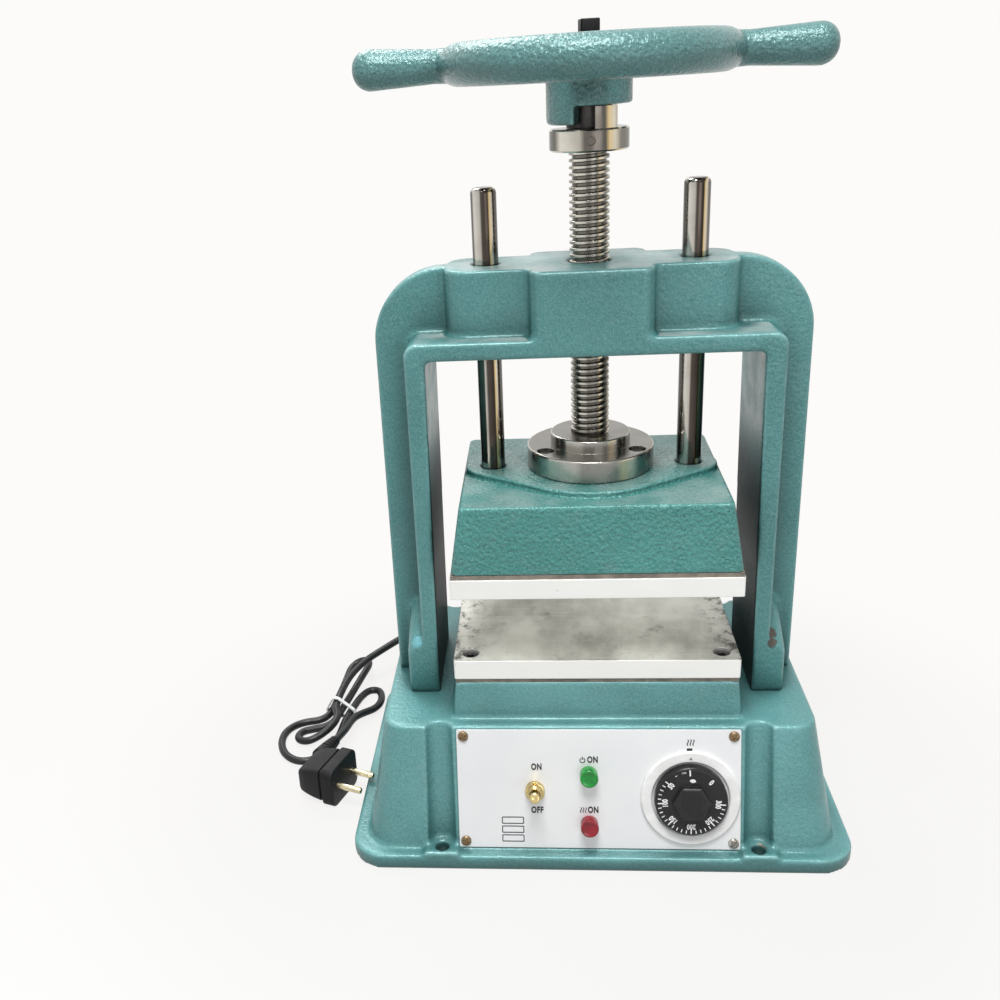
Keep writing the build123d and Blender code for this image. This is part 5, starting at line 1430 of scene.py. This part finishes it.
class VULCANIZER_OT_dial_marks(bpy.types.Operator):
    """Print the dial: its numbers, its graduations and the pointer on its ring"""

    bl_idname = "vulcanizer.dial_marks"
    bl_label = "Dial marks"

    disc_top = 0.00712
    ring_top = 0.00242
    first_value = 50
    last_value = 300
    first_angle = 140.0
    angle_per_value = 0.86

    def place(self, angle, radius):
        """Place on the dial's disc at an angle from the right and a radius, its Y outwards."""
        turn = math.radians(angle)
        x, y = radius * math.cos(turn), radius * math.sin(turn)
        return on_dial(x, y, self.disc_top, turn - math.pi / 2)

    def print_white(self, mark, angle, radius):
        """Lay a mark on the dial's disc in white ink."""
        settle(mark, self.place(angle, radius), "dial", "white_ink")

    def add_tick(self, name, angle, radius, length, width):
        """A printed line along a radius."""
        self.print_white(ink_bar(name, width, length, width * 0.25), angle, radius)

    def execute(self, context):
        height = sizes().number_height
        for value in range(self.first_value, self.last_value + 1, 10):
            angle = self.first_angle + (value - self.first_value) * self.angle_per_value
            if value % 50 == 0:
                self.add_tick(f"tick_{value}", angle, 0.0199, 0.0034, 0.00075)
                self.print_white(lettering(f"number_{value}", str(value), height), angle, 0.0167)
            else:
                self.add_tick(f"tick_{value}", angle, 0.0205, 0.0022, 0.0006)
        self.add_tick("zero_tick", 93, 0.0196, 0.0040, 0.0009)
        self.add_tick("off_dash", 104, 0.0203, 0.0010, 0.0034)
        self.add_tick("small_dash", 119, 0.0200, 0.0006, 0.0018)
        self.print_white(lettering("zero_mark", "0", height * 1.1), 47, 0.0180)
        ink = sizes().ink_thickness
        dot = turned("zero_dot", [(0.0012, 0.0), (0.0012, ink), (0.0010, ink * 1.5)], 24)
        dot.scale = (1.6, 1.0, 1.0)
        hold_place(dot)
        self.print_white(dot, 87, 0.0143)
        pointer = turned("ring_pointer", [(0.0013, 0.0), (0.0013, ink), (0.0012, ink * 1.5)], 3)
        settle(pointer, on_dial(0, 0.0272, self.ring_top), "base", "grey_ink")
        return {"FINISHED"}


class VULCANIZER_OT_finishes(bpy.types.Operator):
    """Give every solid that is carried over its own finish"""

    bl_idname = "vulcanizer.finishes"
    bl_label = "Finishes"

    def execute(self, context):
        bare = set(NODES)
        for finish, names in NODE_FINISHES.items():
            for name in names:
                solid = NODES[name]
                solid.data.materials.clear()
                solid.data.materials.append(finish_named(finish))
                bare.remove(name)
        if bare:
            raise RuntimeError(f"no finish for {sorted(bare)}")
        return {"FINISHED"}


STEPS = (
    VULCANIZER_OT_stage,
    VULCANIZER_OT_lead,
    VULCANIZER_OT_press_screw,
    VULCANIZER_OT_castings,
    VULCANIZER_OT_handwheel,
    VULCANIZER_OT_panel_marks,
    VULCANIZER_OT_panel_screws,
    VULCANIZER_OT_toggle,
    VULCANIZER_OT_lamps,
    VULCANIZER_OT_dial_marks,
    VULCANIZER_OT_finishes,
)


class VULCANIZER_PT_panel(bpy.types.Panel):
    """Buttons for each group of pieces, in the order in which they are made"""

    bl_label = "Mold Vulcanizer"
    bl_idname = "VULCANIZER_PT_panel"
    bl_space_type = "VIEW_3D"
    bl_region_type = "UI"
    bl_category = "Vulcanizer"

    def draw(self, context):
        for step in STEPS:
            self.layout.operator(step.bl_idname)
        for group in (context.scene.vulcanizer_sizes, context.scene.vulcanizer_colours):
            for key in group.__annotations__:
                self.layout.prop(group, key)


CLASSES = (VulcanizerSizes, VulcanizerColours, *STEPS, VULCANIZER_PT_panel)


def register():
    for cls in CLASSES:
        bpy.utils.register_class(cls)
    bpy.types.Scene.vulcanizer_sizes = PointerProperty(type=VulcanizerSizes)
    bpy.types.Scene.vulcanizer_colours = PointerProperty(type=VulcanizerColours)


def unregister():
    del bpy.types.Scene.vulcanizer_colours
    del bpy.types.Scene.vulcanizer_sizes
    for cls in reversed(CLASSES):
        bpy.utils.unregister_class(cls)


def main():
    """Make every piece in order."""
    register()
    for step in STEPS:
        group, action = step.bl_idname.split(".")
        getattr(getattr(bpy.ops, group), action)()
    select_nothing()


if __name__ == "__main__":
    main()
